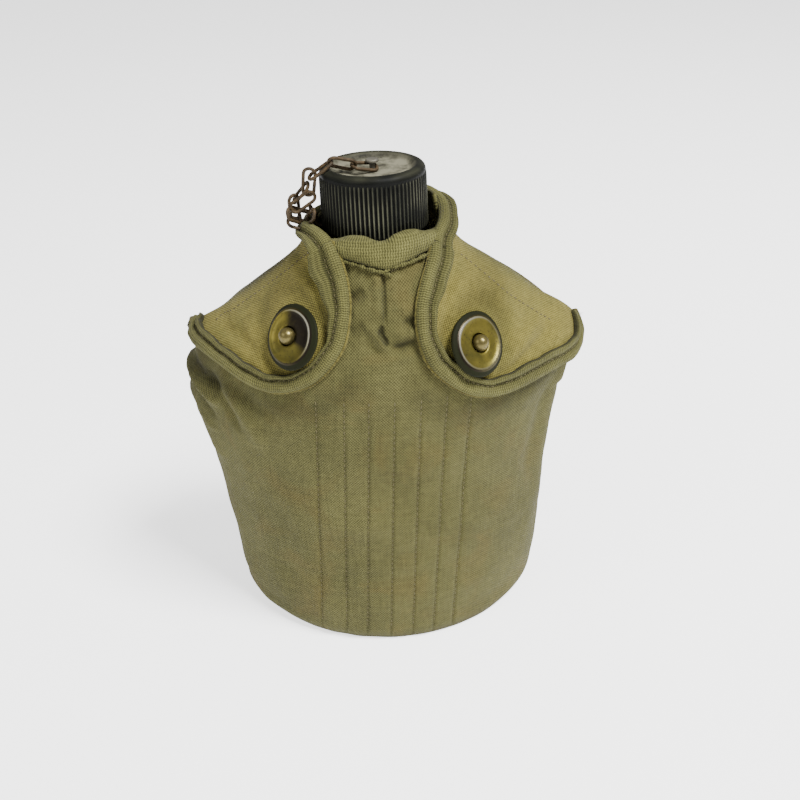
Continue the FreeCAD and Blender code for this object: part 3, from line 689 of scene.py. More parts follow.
# Each row: points (x, z) of a line seen from the front, height or darkness, half width, and the share of its
# length that dies out at each end.
FRONT_FOLDS = [
    # dart above the middle: a soft tuck with a sunk seam
    ([(-0.6, 178), (-0.2, 168), (0.2, 158)], 1.1, 2.0, 0.2),
    ([(5.6, 177), (5.6, 168), (5.2, 159)], 0.55, 2.4, 0.25),
    ([(2.3, 179), (2.6, 170), (2.5, 162), (2.8, 156)], -1.0, 0.75, 0.1),
    # the tuck at its foot: a folded lip, a notch beside it and a deep hollow to the right
    ([(-6.0, 156.5), (-3.0, 155.0), (-0.4, 152.4), (1.6, 149.0), (2.6, 146.6)], 2.0, 1.6, 0.35),
    ([(-1.5, 155.6), (0.6, 153.8), (2.2, 151.4), (3.6, 149.0)], -1.4, 0.9, 0.35),
    ([(1.6, 157.0), (1.0, 155.2), (2.2, 153.6)], -0.9, 1.0, 0.3),
    ([(2.4, 150.2), (6, 148.6), (10, 149.0), (17, 151.4)], -1.5, 1.9, 0.45),
    ([(4.0, 154.4), (8, 153.0), (12, 153.6), (16, 155.2)], 1.7, 2.0, 0.35),
    ([(1, 144.4), (8, 144.6), (16, 147)], 0.9, 2.4, 0.4),
    ([(-8, 150.6), (-3.5, 149.6), (-0.6, 147.4), (0.4, 144.4)], -0.9, 1.8, 0.4),
    # dents beside the dart
    ([(-14, 165), (-8.5, 166.6), (-4, 169.4)], -1.5, 2.3, 0.3),
    ([(-5, 168.5), (0, 172)], -0.5, 1.6, 0.3),
    ([(-12, 161), (-6, 163.4), (-1, 165)], 0.9, 2.4, 0.3),
    ([(-13, 154.5), (-8, 156), (-5, 157.5)], -1.0, 2.0, 0.3),
    ([(8, 156.6), (12.5, 157.4), (18, 157.4)], -1.5, 2.0, 0.3),
    ([(8, 161), (14, 162)], 0.7, 2.6, 0.3),
    # gathers under the flaps' outer ends
    ([(-84, 128), (-76, 125.5), (-66, 122)], -1.3, 1.7, 0.25),
    ([(-90, 125), (-82, 121.5), (-74, 118), (-68, 114)], 2.4, 2.2, 0.2),
    ([(-88, 119), (-79, 114), (-70, 106)], -1.4, 1.7, 0.2),
    ([(-88, 113), (-80, 107), (-72, 98)], 1.5, 2.4, 0.2),
    ([(-76, 131), (-70, 125), (-64, 116), (-58, 104)], -1.6, 2.2, 0.3),
    ([(-70, 131), (-62, 121), (-54, 110), (-49, 96)], 1.4, 3.6, 0.3),
    ([(-62, 128), (-52, 121), (-40, 117)], -0.9, 3.0, 0.3),
    ([(-85, 108), (-78, 96), (-72, 80)], 1.4, 4.0, 0.3),
    ([(88, 124), (80, 118), (74, 108)], 1.8, 2.4, 0.2),
    ([(88, 118), (81, 110), (77, 98), (75, 84)], -1.8, 1.8, 0.2),
    ([(80, 122), (74, 108), (70, 88), (68, 64), (67, 44)], 1.7, 3.0, 0.25),
    ([(74, 120), (67, 102), (63, 84), (62, 66)], -1.3, 3.0, 0.25),
    ([(66, 118), (54, 112)], 1.0, 4.5, 0.3),
    ([(62, 70), (64, 48), (62, 26)], 0.9, 4.0, 0.3),
    # slack creases across the middle
    ([(-45, 70), (-15, 66), (10, 68)], 0.5, 5.0, 0.3),
    ([(-30, 46), (0, 43), (35, 47)], 0.45, 5.0, 0.3),
    ([(-20, 98), (12, 96), (40, 99)], 0.45, 5.5, 0.3),
]
# Painted shade on the front: lines darkened where shade falls in the dart's creases, the dents beside it, under
# the flaps' edges and in the gathers; rows as in the table above, with darkness for height.
FRONT_SHADE_LINES = [
    ([(-82, 130), (-60, 124.5), (-40, 121), (-26, 123.5), (-13, 133), (-7.5, 146)], 0.42, 4.5, 0.15),
    ([(82, 127), (62, 121), (42, 117), (28, 119), (14, 130), (9.0, 142)], 0.46, 5.5, 0.15),
    ([(2.3, 178), (2.6, 170), (2.5, 162), (1.4, 156)], 0.6, 0.8, 0.1),
    ([(-0.6, 155.0), (1.2, 153.4), (2.6, 151.0), (3.6, 149.0)], 1.3, 0.9, 0.2),
    ([(1.8, 157.0), (0.8, 155.2), (1.6, 154.0)], 1.2, 0.9, 0.3),
    ([(3.0, 149.6), (8, 148.6), (16, 151)], 1.0, 1.3, 0.35),
    ([(-13, 165), (-8.5, 166.6), (-5, 169)], 0.75, 1.8, 0.3),
    ([(9, 156.6), (12.5, 157.4), (17, 157.4)], 0.8, 1.6, 0.3),
    ([(-12, 154), (-8, 155.6), (-5, 157)], 0.35, 1.6, 0.3),
    # painted shade under the flaps' edges and in the gathers below their ends
    ([(-82, 128), (-74, 125.5), (-65, 123)], 1.0, 2.4, 0.2),
    ([(-88, 119), (-79, 114), (-70, 106)], 0.4, 1.8, 0.2),
    ([(86, 131), (78, 126.5), (70, 121)], 0.5, 2.2, 0.2),
]


def add_folds(total, X, Z, rows):
    """Adds the fold of each row of a table to an array of heights or darkness."""
    for row in rows:
        total += fold(X, Z, *row)
    return total


def line_x(ends, z):
    """Where a stitch line is at height z."""
    return ends[0] + (ends[1] - ends[0]) * (LINE_HIGH - z) / (LINE_HIGH - LINE_LOW)


def front_relief(P):
    """How far the front panel's cloth stands out from its smooth form."""
    X, Z = P[..., 0], P[..., 2]
    d = np.zeros(X.shape)
    low = np.clip((135 - Z) / 30, 0, 1) * np.clip(Z / 6, 0, 1)
    for ends in LINES:
        gap = X - line_x(ends, Z)
        d += low * (-0.60 * np.exp(-(gap / 0.75) ** 2) + 0.10 * np.exp(-(np.abs(gap) / 3.0 - 1.0) ** 2))
    d += 0.55 * lumps(P, 17.0, 3) * np.clip(Z / 25, 0.2, 1)
    d += 0.18 * lumps(P, 6.0, 4)
    return add_folds(d, X, Z, FRONT_FOLDS)


def front_darkening(P):
    """How much darker the front panel is painted, from 0 to 1: darker at the bottom edge and along the stitch
    lines, with painted shade in the dart's creases, the dents beside it and under the flaps' edges.
    """
    X, Z = P[..., 0], P[..., 2]
    # darker at the bottom edge
    g = 0.5 * np.exp(-(Z / 3.0) ** 2)
    low = np.clip((135 - Z) / 12, 0, 1) * np.clip(Z / 6, 0, 1)
    for ends in LINES:
        g += 0.34 * low * np.exp(-((X - line_x(ends, Z)) / 0.55) ** 2)
    # painted shade in the creases and under the flaps' edges
    return np.clip(add_folds(g, X, Z, FRONT_SHADE_LINES), 0, 1)


Pf, uvf = panel_grid(0.0, PANEL_TOP, 236, 330, fine=True)
Nf = grid_normals(Pf)
Pf = Pf + Nf * front_relief(Pf)[..., None]
Nf = grid_normals(Pf)
front = shell_object("cover_front_skin", Pf, Nf, uvf, CLOTH, [CANVAS, CANVAS], {"grime_and_shade": front_darkening(Pf)})
put(front, ROOT, "cover_canvas", "cover_front")
FRONT_TREE = BVHTree.FromPolygons(Pf.reshape(-1, 3).tolist(), grid_faces(*Pf.shape[:2]))


def from_front(tree, x, z):
    """Where a line from the front meets a surface, and the normal there; two Nones where it misses."""
    hit, nrm, _, _ = tree.ray_cast(Vector((x, -RAY_START, z)), Vector((0, 1, 0)))
    if hit is None:
        return None, None
    nrm = np.array(nrm)
    return np.array(hit), nrm if nrm[1] < 0 else -nrm


def on_front(x, z):
    """Point and normal of the dented front panel at a place of the front view."""
    return from_front(FRONT_TREE, x, z)


for i, ends in enumerate(LINES):
    pts = [on_front(line_x(ends, z), z) for z in np.arange(128.0, 5.0, -3.0)]
    put(stitches("front_stitches_%d" % (i + 1), [p for p, _ in pts], [q for _, q in pts], 2.6, [THREAD]),
        ROOT, "cover_canvas")

# ------------------------------------------------------------------- back panel
Pb, uvb = panel_grid(0.0, 190.0, 120, 170, back=True)
Nb = grid_normals(Pb)
relief = 0.6 * lumps(Pb, 18.0, 8) + 0.2 * lumps(Pb, 6.0, 9)
Pb = Pb + Nb * relief[..., None]
tilt = 0.16 * (Pb[..., 0] / 25.0) * 25.0     # the collar is higher on the right
Pb[..., 2] += np.clip((Pb[..., 2] - 170) / 20, 0, 1) * np.clip(tilt, -4, 4)
Nb = grid_normals(Pb)
back = shell_object("cover_back_skin", Pb, Nb, uvb, CLOTH, [CANVAS, CANVAS])
put(back, ROOT, "cover_canvas", "cover_back")

# ----------------------------------------------------------------------- flaps
# Edge of each flap from its outer ear round to the collar, and the band's width there.
EDGE = {
    "left": [(-83.0, 9.0, 145.0, 8.8), (-83.5, 5.0, 141.5, 8.8), (-80.0, -2.0, 137.2, 8.6),
             (-72.0, -10.8, 135.4, 8.4), (-60.0, -26.2, 133.0, 8.0), (-51.3, -33.4, 130.5, 7.8),
             (-42.7, -38.2, 129.8, 7.6), (-34.3, -41.4, 131.9, 7.4), (-25.8, -43.4, 135.9, 7.0),
             (-18.2, -43.0, 143.3, 6.6), (-13.5, -41.4, 150.1, 6.8), (-11.0, -38.0, 158.6, 8.2),
             (-10.2, -34.6, 165.4, 10.0), (-11.2, -29.8, 173.4, 12.0), (-13.2, -26.2, 179.4, 12.6),
             (-15.4, -22.8, 185.0, 11.6)],
    "right": [(86.5, 9.0, 137.0, 9.6), (85.5, 5.0, 132.0, 9.6), (82.5, -2.0, 126.0, 9.6),
              (70.5, -16.2, 124.8, 9.6), (60.5, -26.2, 124.0, 9.4), (49.5, -34.2, 123.2, 8.8),
              (40.8, -38.8, 124.3, 8.2), (32.4, -42.4, 128.3, 8.0), (26.0, -44.0, 133.6, 8.0),
              (20.2, -44.2, 139.5, 8.0), (16.5, -42.8, 145.9, 7.8), (14.8, -41.0, 152.0, 7.8),
              (14.1, -38.2, 158.4, 8.0), (14.7, -34.6, 165.1, 8.8), (16.4, -30.2, 170.7, 9.4),
              (19.1, -25.2, 175.9, 9.8), (21.7, -20.0, 181.0, 9.6)],
}
# Top line of the collar's tape: angle in plan, height, how far the tape leans to face up.
COLLAR = [(235, 185.0, 0.9), (220, 187.4, 0.95), (200, 187.4, 0.9), (180, 186.0, 0.7), (150, 187.0, 0.4),
          (120, 189.0, 0.3), (90, 190.6, 0.3), (60, 192.2, 0.4), (40, 192.2, 0.7), (20, 190.2, 1.0),
          (0, 187.2, 1.0), (-22, 184.8, 1.0), (-42.6, 181.0, 0.85)]
FOLD_AXIS = {"left": ((-15.0, -13.0, 190.5), (-84.0, -1.0, 139.5)),
             "right": ((17.0, -13.0, 190.5), (85.0, -1.0, 138.0))}
STUD_PLACE = {"left": (-32.3, 150.6), "right": (35.8, 145.2)}
FLAP_REAR_Y = 15.0            # the flaps' rear seam, on the side of the cover
FLAP_ROWS, FLAP_COLS = 64, 170
SNAP_HOLE_R = 5.0


def ease(t):
    """0 to 1 with soft ends."""
    t = np.clip(t, 0, 1)
    return t * t * (3 - 2 * t)


def ear_lift(x):
    """How far a flap's outer end stands off the cover below it."""
    return 3.4 * ease((np.abs(x) - 62.0) / 17.0)


def blend_line(side):
    """Two points, one behind the flap's fold and one in front: cloth turns between them."""
    a, b = (np.array(p) for p in FOLD_AXIS[side])
    along = (b - a) / np.linalg.norm(b - a)
    ahead = np.array([0, -1.0, -0.55])
    ahead -= along * ahead.dot(along)
    ahead /= np.linalg.norm(ahead)
    return a - ahead * 1.0, a + ahead * 12.0


def bend(obj, side):
    """Bakes a piece's transform into its mesh; the fold's two points are worked out but not used."""
    s, e = blend_line(side)
    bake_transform(obj)


def flap_axes(side):
    """Directions of a flap's two threads: along its fold and across it."""
    a, b = (np.array(p) for p in FOLD_AXIS[side])
    along = (b - a) / np.linalg.norm(b - a)
    out = np.array([0.25 if side == "right" else -0.25, -0.75, 0.6])
    across = np.cross(along, out)
    return along, across / np.linalg.norm(across)


FLAP_FOLDS = {
    "left": [
        ([(-66, 144), (-54, 145), (-44, 141), (-36, 136)], -1.3, 2.4),
        ([(-62, 148), (-54, 150), (-47, 147)], 0.9, 2.6),
        ([(-26, 176), (-22, 168), (-20, 158), (-22, 148)], -1.2, 1.9),
        ([(-32, 173), (-29, 165)], 0.6, 3.0),
    ],
    "right": [
        ([(72, 139), (62, 138), (52, 133.5), (42, 132)], -1.7, 2.0),
        ([(66, 144), (60, 143), (52, 139)], 1.1, 2.4),
        ([(29, 172), (25.5, 164), (24, 154), (26, 144)], -0.9, 1.9),
        ([(50, 160), (46, 152)], 0.7, 3.5),
    ],
}


def flap_relief(P, side):
    """Dents and pulls in a flap's cloth, round its plate and along its edge."""
    X, Z = P[..., 0], P[..., 2]
    sx, sz = STUD_PLACE[side]
    d = 0.30 * lumps(P, 13.0, 21 if side == "left" else 22) + 0.12 * lumps(P, 5.0, 23)
    gap = np.hypot(X - sx, (Z - sz) * 0.9)
    d += -1.3 * np.exp(-(gap / 14.0) ** 4) * (1 - np.exp(-(gap / 10.5) ** 6))
    d += 0.5 * np.exp(-((gap - 16.5) / 3.0) ** 2)
    return add_folds(d, X, Z, FLAP_FOLDS[side])


def punch(obj, place, radius):
    """Cuts the snap's round hole through both faces of a cloth shell, and closes its edge."""
    bm = bmesh.new()
    bm.from_mesh(obj.data)
    x, z = place
    inside = [f for f in bm.faces
              if math.hypot(f.calc_center_median().x / MM - x, f.calc_center_median().z / MM - z) < radius]
    bmesh.ops.delete(bm, geom=inside, context="FACES")
    bmesh.ops.bridge_loops(bm, edges=[e for e in bm.edges if e.is_boundary])
    bm.to_mesh(obj.data)
    bm.free()


def make_flap(side):
    """A flap's two layers, from its rear seam over the shoulder to its bound edge, with the snap's hole."""
    sign = -1 if side == "left" else 1
    edge = resample([p[:3] for p in EDGE[side]], count=FLAP_COLS)
    (ix, _, iz), (ox, _, oz) = FOLD_AXIS[side]
    xs = np.linspace(ox, sign * 22.0, 40)
    rear = [snap((x, FLAP_REAR_Y, iz + (oz - iz) * (x - ix) / (ox - ix)))[0] for x in xs]
    rear = resample(rear, count=FLAP_COLS)
    t = np.linspace(0, 1, FLAP_ROWS)
    flat = rear[None] * (1 - t[:, None, None]) + edge[None] * t[:, None, None]
    pts, nrm = snap_all(flat)
    P, N = pts.reshape(FLAP_ROWS, -1, 3), nrm.reshape(FLAP_ROWS, -1, 3)
    for _ in range(3):
        N[1:-1] = N[1:-1] * 0.5 + (N[:-2] + N[2:]) * 0.25
    N /= np.linalg.norm(N, axis=2, keepdims=True)
    inner = ease(t)[:, None]
    d = (0.35 + 2.15 * ease(t * 3.2)[:, None] + ear_lift(P[..., 0]) * ease(t * 2.2)[:, None]
         + flap_relief(P, side) * ease((1 - t) * 8)[:, None] * (0.35 + 0.65 * inner))
    P = P + N * d[..., None]
    along, across = flap_axes(side)
    uv = np.stack([P @ along, P @ across], -1)
    sx, sz = STUD_PLACE[side]
    gap = np.hypot(P[..., 0] - sx, (P[..., 2] - sz) * 0.85)
    # a ring of stain round the plate's hollow, and a band of painted shade under the edge tape along the flap's
    # edge
    grime_and_shade = (0.40 * np.exp(-((gap - 13.0) / 3.2) ** 2)
             + 0.5 * ease((t[:, None] - 0.80) / 0.12) * np.ones_like(gap))
    if side == "left":
        # along the fold, and in a patch over the plate
        out = np.abs(P[..., 0])
        ridge = np.exp(-((P[..., 1] - 6.0) / 6.0) ** 2) * ease((out - 30) / 12) * (1 - ease((out - 52) / 14))
        grime_and_shade += 0.8 * ridge
        grime_and_shade += 0.25 * np.exp(-(np.hypot(P[..., 0] + 47, (P[..., 2] - 158)) / 9) ** 2)
    else:
        grime_and_shade += 0.45 * np.exp(-(np.hypot(P[..., 0] - 44, P[..., 2] - 160) / 11) ** 2)
    rearward = (1 - ease((t[:, None] - 0.08) / 0.30)) * np.ones_like(gap)
    G = grid_normals(P)
    if np.mean(np.sum(G * N, -1)) < 0:
        P, uv, grime_and_shade, gap = P[:, ::-1], uv[:, ::-1], grime_and_shade[:, ::-1], gap[:, ::-1]
        G = grid_normals(P)
    thick = 1.7 - 1.2 * np.exp(-(gap / 12.5) ** 6)
    skin = shell_object(side + "_flap_skin", P, G, uv, thick, [FLAP, LINING],
                        {"grime_and_shade": np.clip(grime_and_shade, 0, 1), "rear": rearward})
    punch(skin, (sx, sz), SNAP_HOLE_R)
    put(skin, ROOT, "flap_canvas", side + "_flap", side + "_flap_lining", side=side)
    return BVHTree.FromPolygons(P.reshape(-1, 3).tolist(), grid_faces(*P.shape[:2]))


# Across the tape from its outer edge inwards, and its height: a rolled edge, a stitched groove, a flat lip.
TAPE_SECTION = [(-8.2, 1.5), (-7.7, 2.0), (-6.9, 2.05), (-6.2, 1.6), (-5.6, 0.95), (-5.1, 1.0), (-4.4, 1.9),
                (-3.4, 2.55), (-2.2, 2.7), (-1.1, 2.25), (-0.3, 1.3), (0.0, 0.1), (-0.2, -0.9),
                (-1.0, -1.4), (-2.6, -1.5), (-5.2, -1.3), (-7.7, -0.9), (-8.3, 0.3)]


ROLL = 5.1                    # width of the rolled part; the rest is the lip
TAPE_LIFT = 1.9               # the tape's line above the smooth cover
COLLAR_R = 25.3


def tape_sweep(name, path, normals, width, size, uv_start):
    """The edge tape: the roll keeps its size and the lip takes up the rest of the width."""
    tangent, normals = carry_frame(path, normals)
    across = -np.cross(normals, tangent)
    section = np.array(TAPE_SECTION)
    k = len(section)
    e, h = -section[:, 0], section[:, 1]
    lip = np.clip((e - ROLL) / 3.1, 0, None)
    E = (np.minimum(e, ROLL)[None] * size[:, None]
         + lip[None] * np.maximum(width - ROLL, 1.6)[:, None] * size[:, None])
    H = h[None] * size[:, None]
    rough = 0.10 * np.sin(np.arange(len(path))[:, None] * 0.7 + np.arange(k)[None] * 1.9)
    rough += 0.12 * np.sin(np.arange(len(path))[:, None] * 0.31 + np.arange(k)[None] * 0.8 + 2)
    pts = path[:, None, :] - across[:, None, :] * E[..., None] + normals[:, None, :] * (H + rough)[..., None]
    along = uv_start + run_length(path)
    girth = run_length(section)
    uv = np.stack(np.meshgrid(girth, along), -1)
    rows = len(path)
    # painted shade in the stitched groove, on the tape's underside and along the lip's inner edge
    groove = np.exp(-((e - 5.45) / 0.5) ** 2) * (h > 0)
    under = (h < 0.4) * 0.8 + (e > 7.9) * 0.3
    grime_and_shade = np.repeat(np.clip(groove * 0.9 + under, 0, 1)[None], rows, 0)
    wear_and_highlight = np.exp(-((e - 2.2) / 1.7) ** 2) * (h > 0.5)
    patch = 0.5 + 0.5 * np.sin(along * 0.19 + 1.0) * np.sin(along * 0.083)
    wear_and_highlight = wear_and_highlight[None] * np.clip(patch, 0, 1)[:, None] * 0.7
    faces = grid_faces(rows, k, wrap_cols=True)
    verts, weave = close_ends(pts, uv, tangent, faces, 0.5, False)
    grime_and_shade, wear_and_highlight = list(grime_and_shade.reshape(-1)) + [0.2] * 2, list(wear_and_highlight.reshape(-1)) + [0.0] * 2
    obj = mesh_object(name, verts, faces, weave, {"grime_and_shade": grime_and_shade, "wear_and_highlight": wear_and_highlight}, [TAPE])
    fix_normals(obj)
    return obj, pts


def fix_normals(obj):
    """Turns every face of a closed mesh to face outwards."""
    bm = bmesh.new()
    bm.from_mesh(obj.data)
    bmesh.ops.recalc_face_normals(bm, faces=bm.faces)
    bm.to_mesh(obj.data)
    bm.free()


def make_bindings():
    """One length of tape: up the left flap's edge, round the collar and down the right flap's edge."""
    left = resample(EDGE["left"], step=0.9)
    right = resample(EDGE["right"], step=0.9)[::-1]
    lp, ln = snap_all(left[:, :3])
    rp, rn = snap_all(right[:, :3])
    lp = lp + ln * (TAPE_LIFT + ear_lift(lp[:, 0]))[:, None]
    rp = rp + rn * (TAPE_LIFT + ear_lift(rp[:, 0]))[:, None]
    table = np.array(COLLAR)
    at = np.linspace(0, 1, len(table))
    f = np.linspace(0, 1, 130)
    ang = np.radians(smooth_column(at, table[:, 0])(f))
    high = smooth_column(at, table[:, 1])(f)
    face_up = smooth_column(at, table[:, 2])(f)
    ring = np.stack([COLLAR_R * np.cos(ang), COLLAR_R * np.sin(ang), high], 1)
    radial = np.stack([np.cos(ang), np.sin(ang), np.zeros_like(ang)], 1)
    up = np.array([0, -0.22, 0.95])
    rim = radial * (1.05 - 0.75 * face_up)[:, None] + up * (0.15 + 0.75 * face_up)[:, None]
    # tilt the flap edges' tape to meet the collar's tape
    for p, n, end in ((lp, ln, -1), (rp, rn, 0)):
        near = ease((p[:, 2] - 168.0) / 14.0)[:, None] * 0.6
        target = rim[0] if end == -1 else rim[-1]
        n[:] = n * (1 - near) + target / np.linalg.norm(target) * near
    path = np.concatenate([lp, ring[2:-2], rp])
    norm = np.concatenate([ln, rim[2:-2], rn])
    middle = np.interp(f[2:-2], [0, 0.2, 0.5, 0.8, 1], [10.4, 7.4, 7.4, 8.0, 9.2])
    width = np.concatenate([left[:, 3], middle, right[:, 3]])
    for _ in range(30):
        path[1:-1] = path[1:-1] * 0.5 + (path[:-2] + path[2:]) * 0.25
        norm[1:-1] = norm[1:-1] * 0.5 + (norm[:-2] + norm[2:]) * 0.25
    count = len(path)
    k = np.arange(count)
    size = 1.0 + 0.035 * np.sin(k * 0.13) + 0.03 * np.sin(k * 0.41 + 1)
    ends = np.minimum(k, k[::-1])
    size *= 0.72 + 0.28 * np.sqrt(np.clip(ends / 5.0, 0, 1))
    n_left, n_right = len(lp), len(rp)
    run = run_length(path)
    cuts = {"left_flap_binding": (0, n_left + 1), "cover_collar_binding": (n_left, count - n_right),
            "right_flap_binding": (count - n_right - 1, count)}
    for name, (i, j) in cuts.items():
        side = None if name == "cover_collar_binding" else name.split("_")[0]
        obj, pts = tape_sweep(name + "_tape", path[i:j], norm[i:j], width[i:j], size[i:j], run[i])
        put(obj, ROOT, "binding_tape", name, side=side)
        # the seam that holds the lip down
        groove, seam_norm = (pts[:, 4] + pts[:, 5]) / 2, norm[i:j]
        if side:
            groove, seam_norm = groove[4:-4], seam_norm[4:-4]
        seam = stitches(name + "_seam", groove, seam_norm, 2.3, [THREAD], radius=0.2, lift=0.12)
        put(seam, ROOT, "binding_tape", side=side)
    return path, norm


FLAP_TREES = {side: make_flap(side) for side in ("left", "right")}
TAPE_PATH, TAPE_NORM = make_bindings()

# Stitching along each flap, parallel with its fold.
FLAP_SEAM = {"left": [(-25.5, 178.5), (-38.2, 167.8), (-55.5, 155.1), (-69.0, 145.5)],
             "right": [(32.5, 174.5), (46.8, 162.0), (58.4, 151.8), (71.5, 142.0)]}


def make_flap_seam(side):
    """The row of dark stitches that runs along a flap."""
    pts, nrm = [], []
    for x, z in resample([(a, b, 0) for a, b in FLAP_SEAM[side]], step=2.0)[:, :2]:
        hit, n = from_front(FLAP_TREES[side], x, z)
        if hit is not None:
            pts.append(hit)
            nrm.append(n)
    obj = stitches(side + "_flap_seam", pts, nrm, 2.4, [THREAD_DARK], radius=0.24, lift=0.05)
    put(obj, ROOT, "flap_canvas", side=side)


for side in ("left", "right"):
    make_flap_seam(side)


# ----------------------------------------------------------------- front hem
def make_front_hem():
    """The rolled hem in front of the cap, between the flaps, and the torn selvedge under it."""
    cols, rows = 110, 26
    xs = np.linspace(-20.0, 24.0, cols)
    top = smooth_column(np.array([-20, -14.6, -11.1, -5.0, 3.1, 8.7, 14.7, 20.1, 24.0]),
                        np.array([184.2, 185.6, 187.0, 187.5, 185.6, 187.7, 188.0, 185.6, 184.4]))(xs)
    low = smooth_column(np.array([-20, -13.0, -5.5, 0.0, 4.8, 10.2, 16.3, 24.0]),
                        np.array([180.4, 179.2, 177.8, 176.2, 175.6, 177.0, 178.4, 179.4]))(xs)
    P = np.zeros((rows, cols, 3))
    for j in range(cols):
        for i in range(rows):
            z = low[j] + (top[j] - low[j]) * i / (rows - 1)
            hx, hy, shift = half_section(np.float64(min(z, 186.5)), 0.0)
            n = int(np.argmax(hx)) + 1
            P[i, j] = (xs[j], np.interp(abs(xs[j] - shift), hx[:n], hy[:n]), z)
    N = grid_normals(P)
    s = np.linspace(0, 1, rows)[:, None]
    middle = np.exp(-((xs[None] - 3.0) / 3.2) ** 2)
    bulge = 0.9 + 1.9 * np.sin(np.pi * np.clip(s * 0.96 + 0.02, 0, 1)) ** 0.6 * (1 - 0.25 * middle)
    bulge = bulge - 2.6 * np.clip((s - 0.86) / 0.14, 0, 1) ** 2 + 0.22 * lumps(P, 4.5, 31)
    P = P + N * bulge[..., None]
    G = grid_normals(P)
    uv = np.stack([P[..., 2], np.repeat(xs[None] * 1.05, rows, 0)], -1)
    wear_and_highlight = np.repeat(np.exp(-((s - 0.55) / 0.3) ** 2) * 0.5, cols, 1)
    # painted shade along the hem's lower edge, under its roll
    grime_and_shade = np.repeat(np.clip(0.9 - s * 8, 0, 1), cols, 1)
    obj = shell_object("cover_front_hem", P, G, uv, 2.4, [TAPE, TAPE], {"wear_and_highlight": wear_and_highlight, "grime_and_shade": grime_and_shade})
    put(obj, ROOT, "binding_tape", "cover_front_binding")

    # frayed selvedge under the hem, in two runs that meet over the dart
    r = np.random.default_rng(5)
    runs = {"hem_selvedge_left": [(-16.0, 178.6), (-9.0, 177.6), (-2.0, 175.6), (3.6, 173.9), (5.6, 173.2)],
            "hem_selvedge_right": [(2.6, 173.8), (6.0, 175.6), (11.0, 176.4), (17.0, 177.4), (22.5, 178.2)]}
    for name, line in runs.items():
        pts = resample([(x, 0, z) for x, z in line], step=0.5)
        path, nrm = [], []
        for x, _, z in pts:
            p, n = on_front(x, z)
            path.append(p + n * (1.5 if name.endswith("right") else 1.1))
            nrm.append(n)
        path = np.array(path)
        path += r.normal(0, 0.10, path.shape)
        m = len(path)
        size = 0.85 + 0.22 * np.sin(np.arange(m) * 0.9) + r.normal(0, 0.10, m)
        ends = np.minimum(np.arange(m), np.arange(m)[::-1])
        size = np.clip(size, 0.5, 1.3) * np.clip(0.35 + ends / 4.0, 0, 1)
        a = turn_round(12)
        ring = np.stack([0.85 * np.cos(a), 0.95 * np.sin(a)], 1)
        obj = sweep_object(name, path, np.array(nrm), ring, [TAPE], size)
        fix_normals(obj)
        put(obj, ROOT, "binding_tape")
    frayed = ((4.6, 173.6), (5.6, 174.4), (7.2, 175.6), (8.4, 175.8), (3.2, 173.9), (9.5, 176.2), (6.4, 174.9))
    fibres("hem_fray", [on_front(x, z) for x, z in frayed], 9, 1.9, 4)


def fibres(name, spots, per_spot, length, seed, side=None):
    """Loose broken threads that stand out of a cut edge."""
    r = np.random.default_rng(seed)
    verts, faces = [], []
    for p, n in spots:
        for _ in range(per_spot):
            d = np.array(n) * r.uniform(0.3, 1.0) + r.normal(0, 0.6, 3)
            d /= np.linalg.norm(d)
            q = np.array(p) + np.array(n) * 0.9 + r.normal(0, 0.35, 3)
            curl = r.normal(0, 0.5, 3)
            side_v = np.cross(d, r.normal(size=3))
            side_v /= np.linalg.norm(side_v)
            other = np.cross(d, side_v)
            ln = length * r.uniform(0.4, 1.0)
            base = len(verts)
            for s in range(5):
                f = s / 4
                c = q + d * ln * f + curl * f * f
                w = 0.07 * (1 - 0.8 * f)
                for k in range(3):
                    a = 2 * math.pi * k / 3
                    verts.append(c + side_v * w * math.cos(a) + other * w * math.sin(a))
            for s in range(4):
                for k in range(3):
                    a, b = base + s * 3 + k, base + s * 3 + (k + 1) % 3
                    faces.append((a, b, b + 3, a + 3))
            faces.append((base, base + 2, base + 1))
            faces.append((base + 12, base + 13, base + 14))
    put(mesh_object(name, verts, faces, None, None, [THREAD]), ROOT, "binding_tape", side=side)


make_front_hem()
fibres("right_ear_fray", [(TAPE_PATH[-1 - i], TAPE_NORM[-1 - i]) for i in range(3)], 12, 2.2, 6, "right")


# ------------------------------------------------------------------- fasteners
PLATE_HALF = (11.8, 13.0)     # half width and half height
BALL_HOLE_R = 3.75
BALL_PROUD = 3.3              # from the plate's foot to the top of the stud's ball


def egg_ring(a, half_w, half_h, pinch):
    """An oval that narrows towards its top."""
    p = 1.0 - pinch * np.maximum(np.sin(a), 0) ** 2
    return half_w * np.cos(a) * p, half_h * np.sin(a)


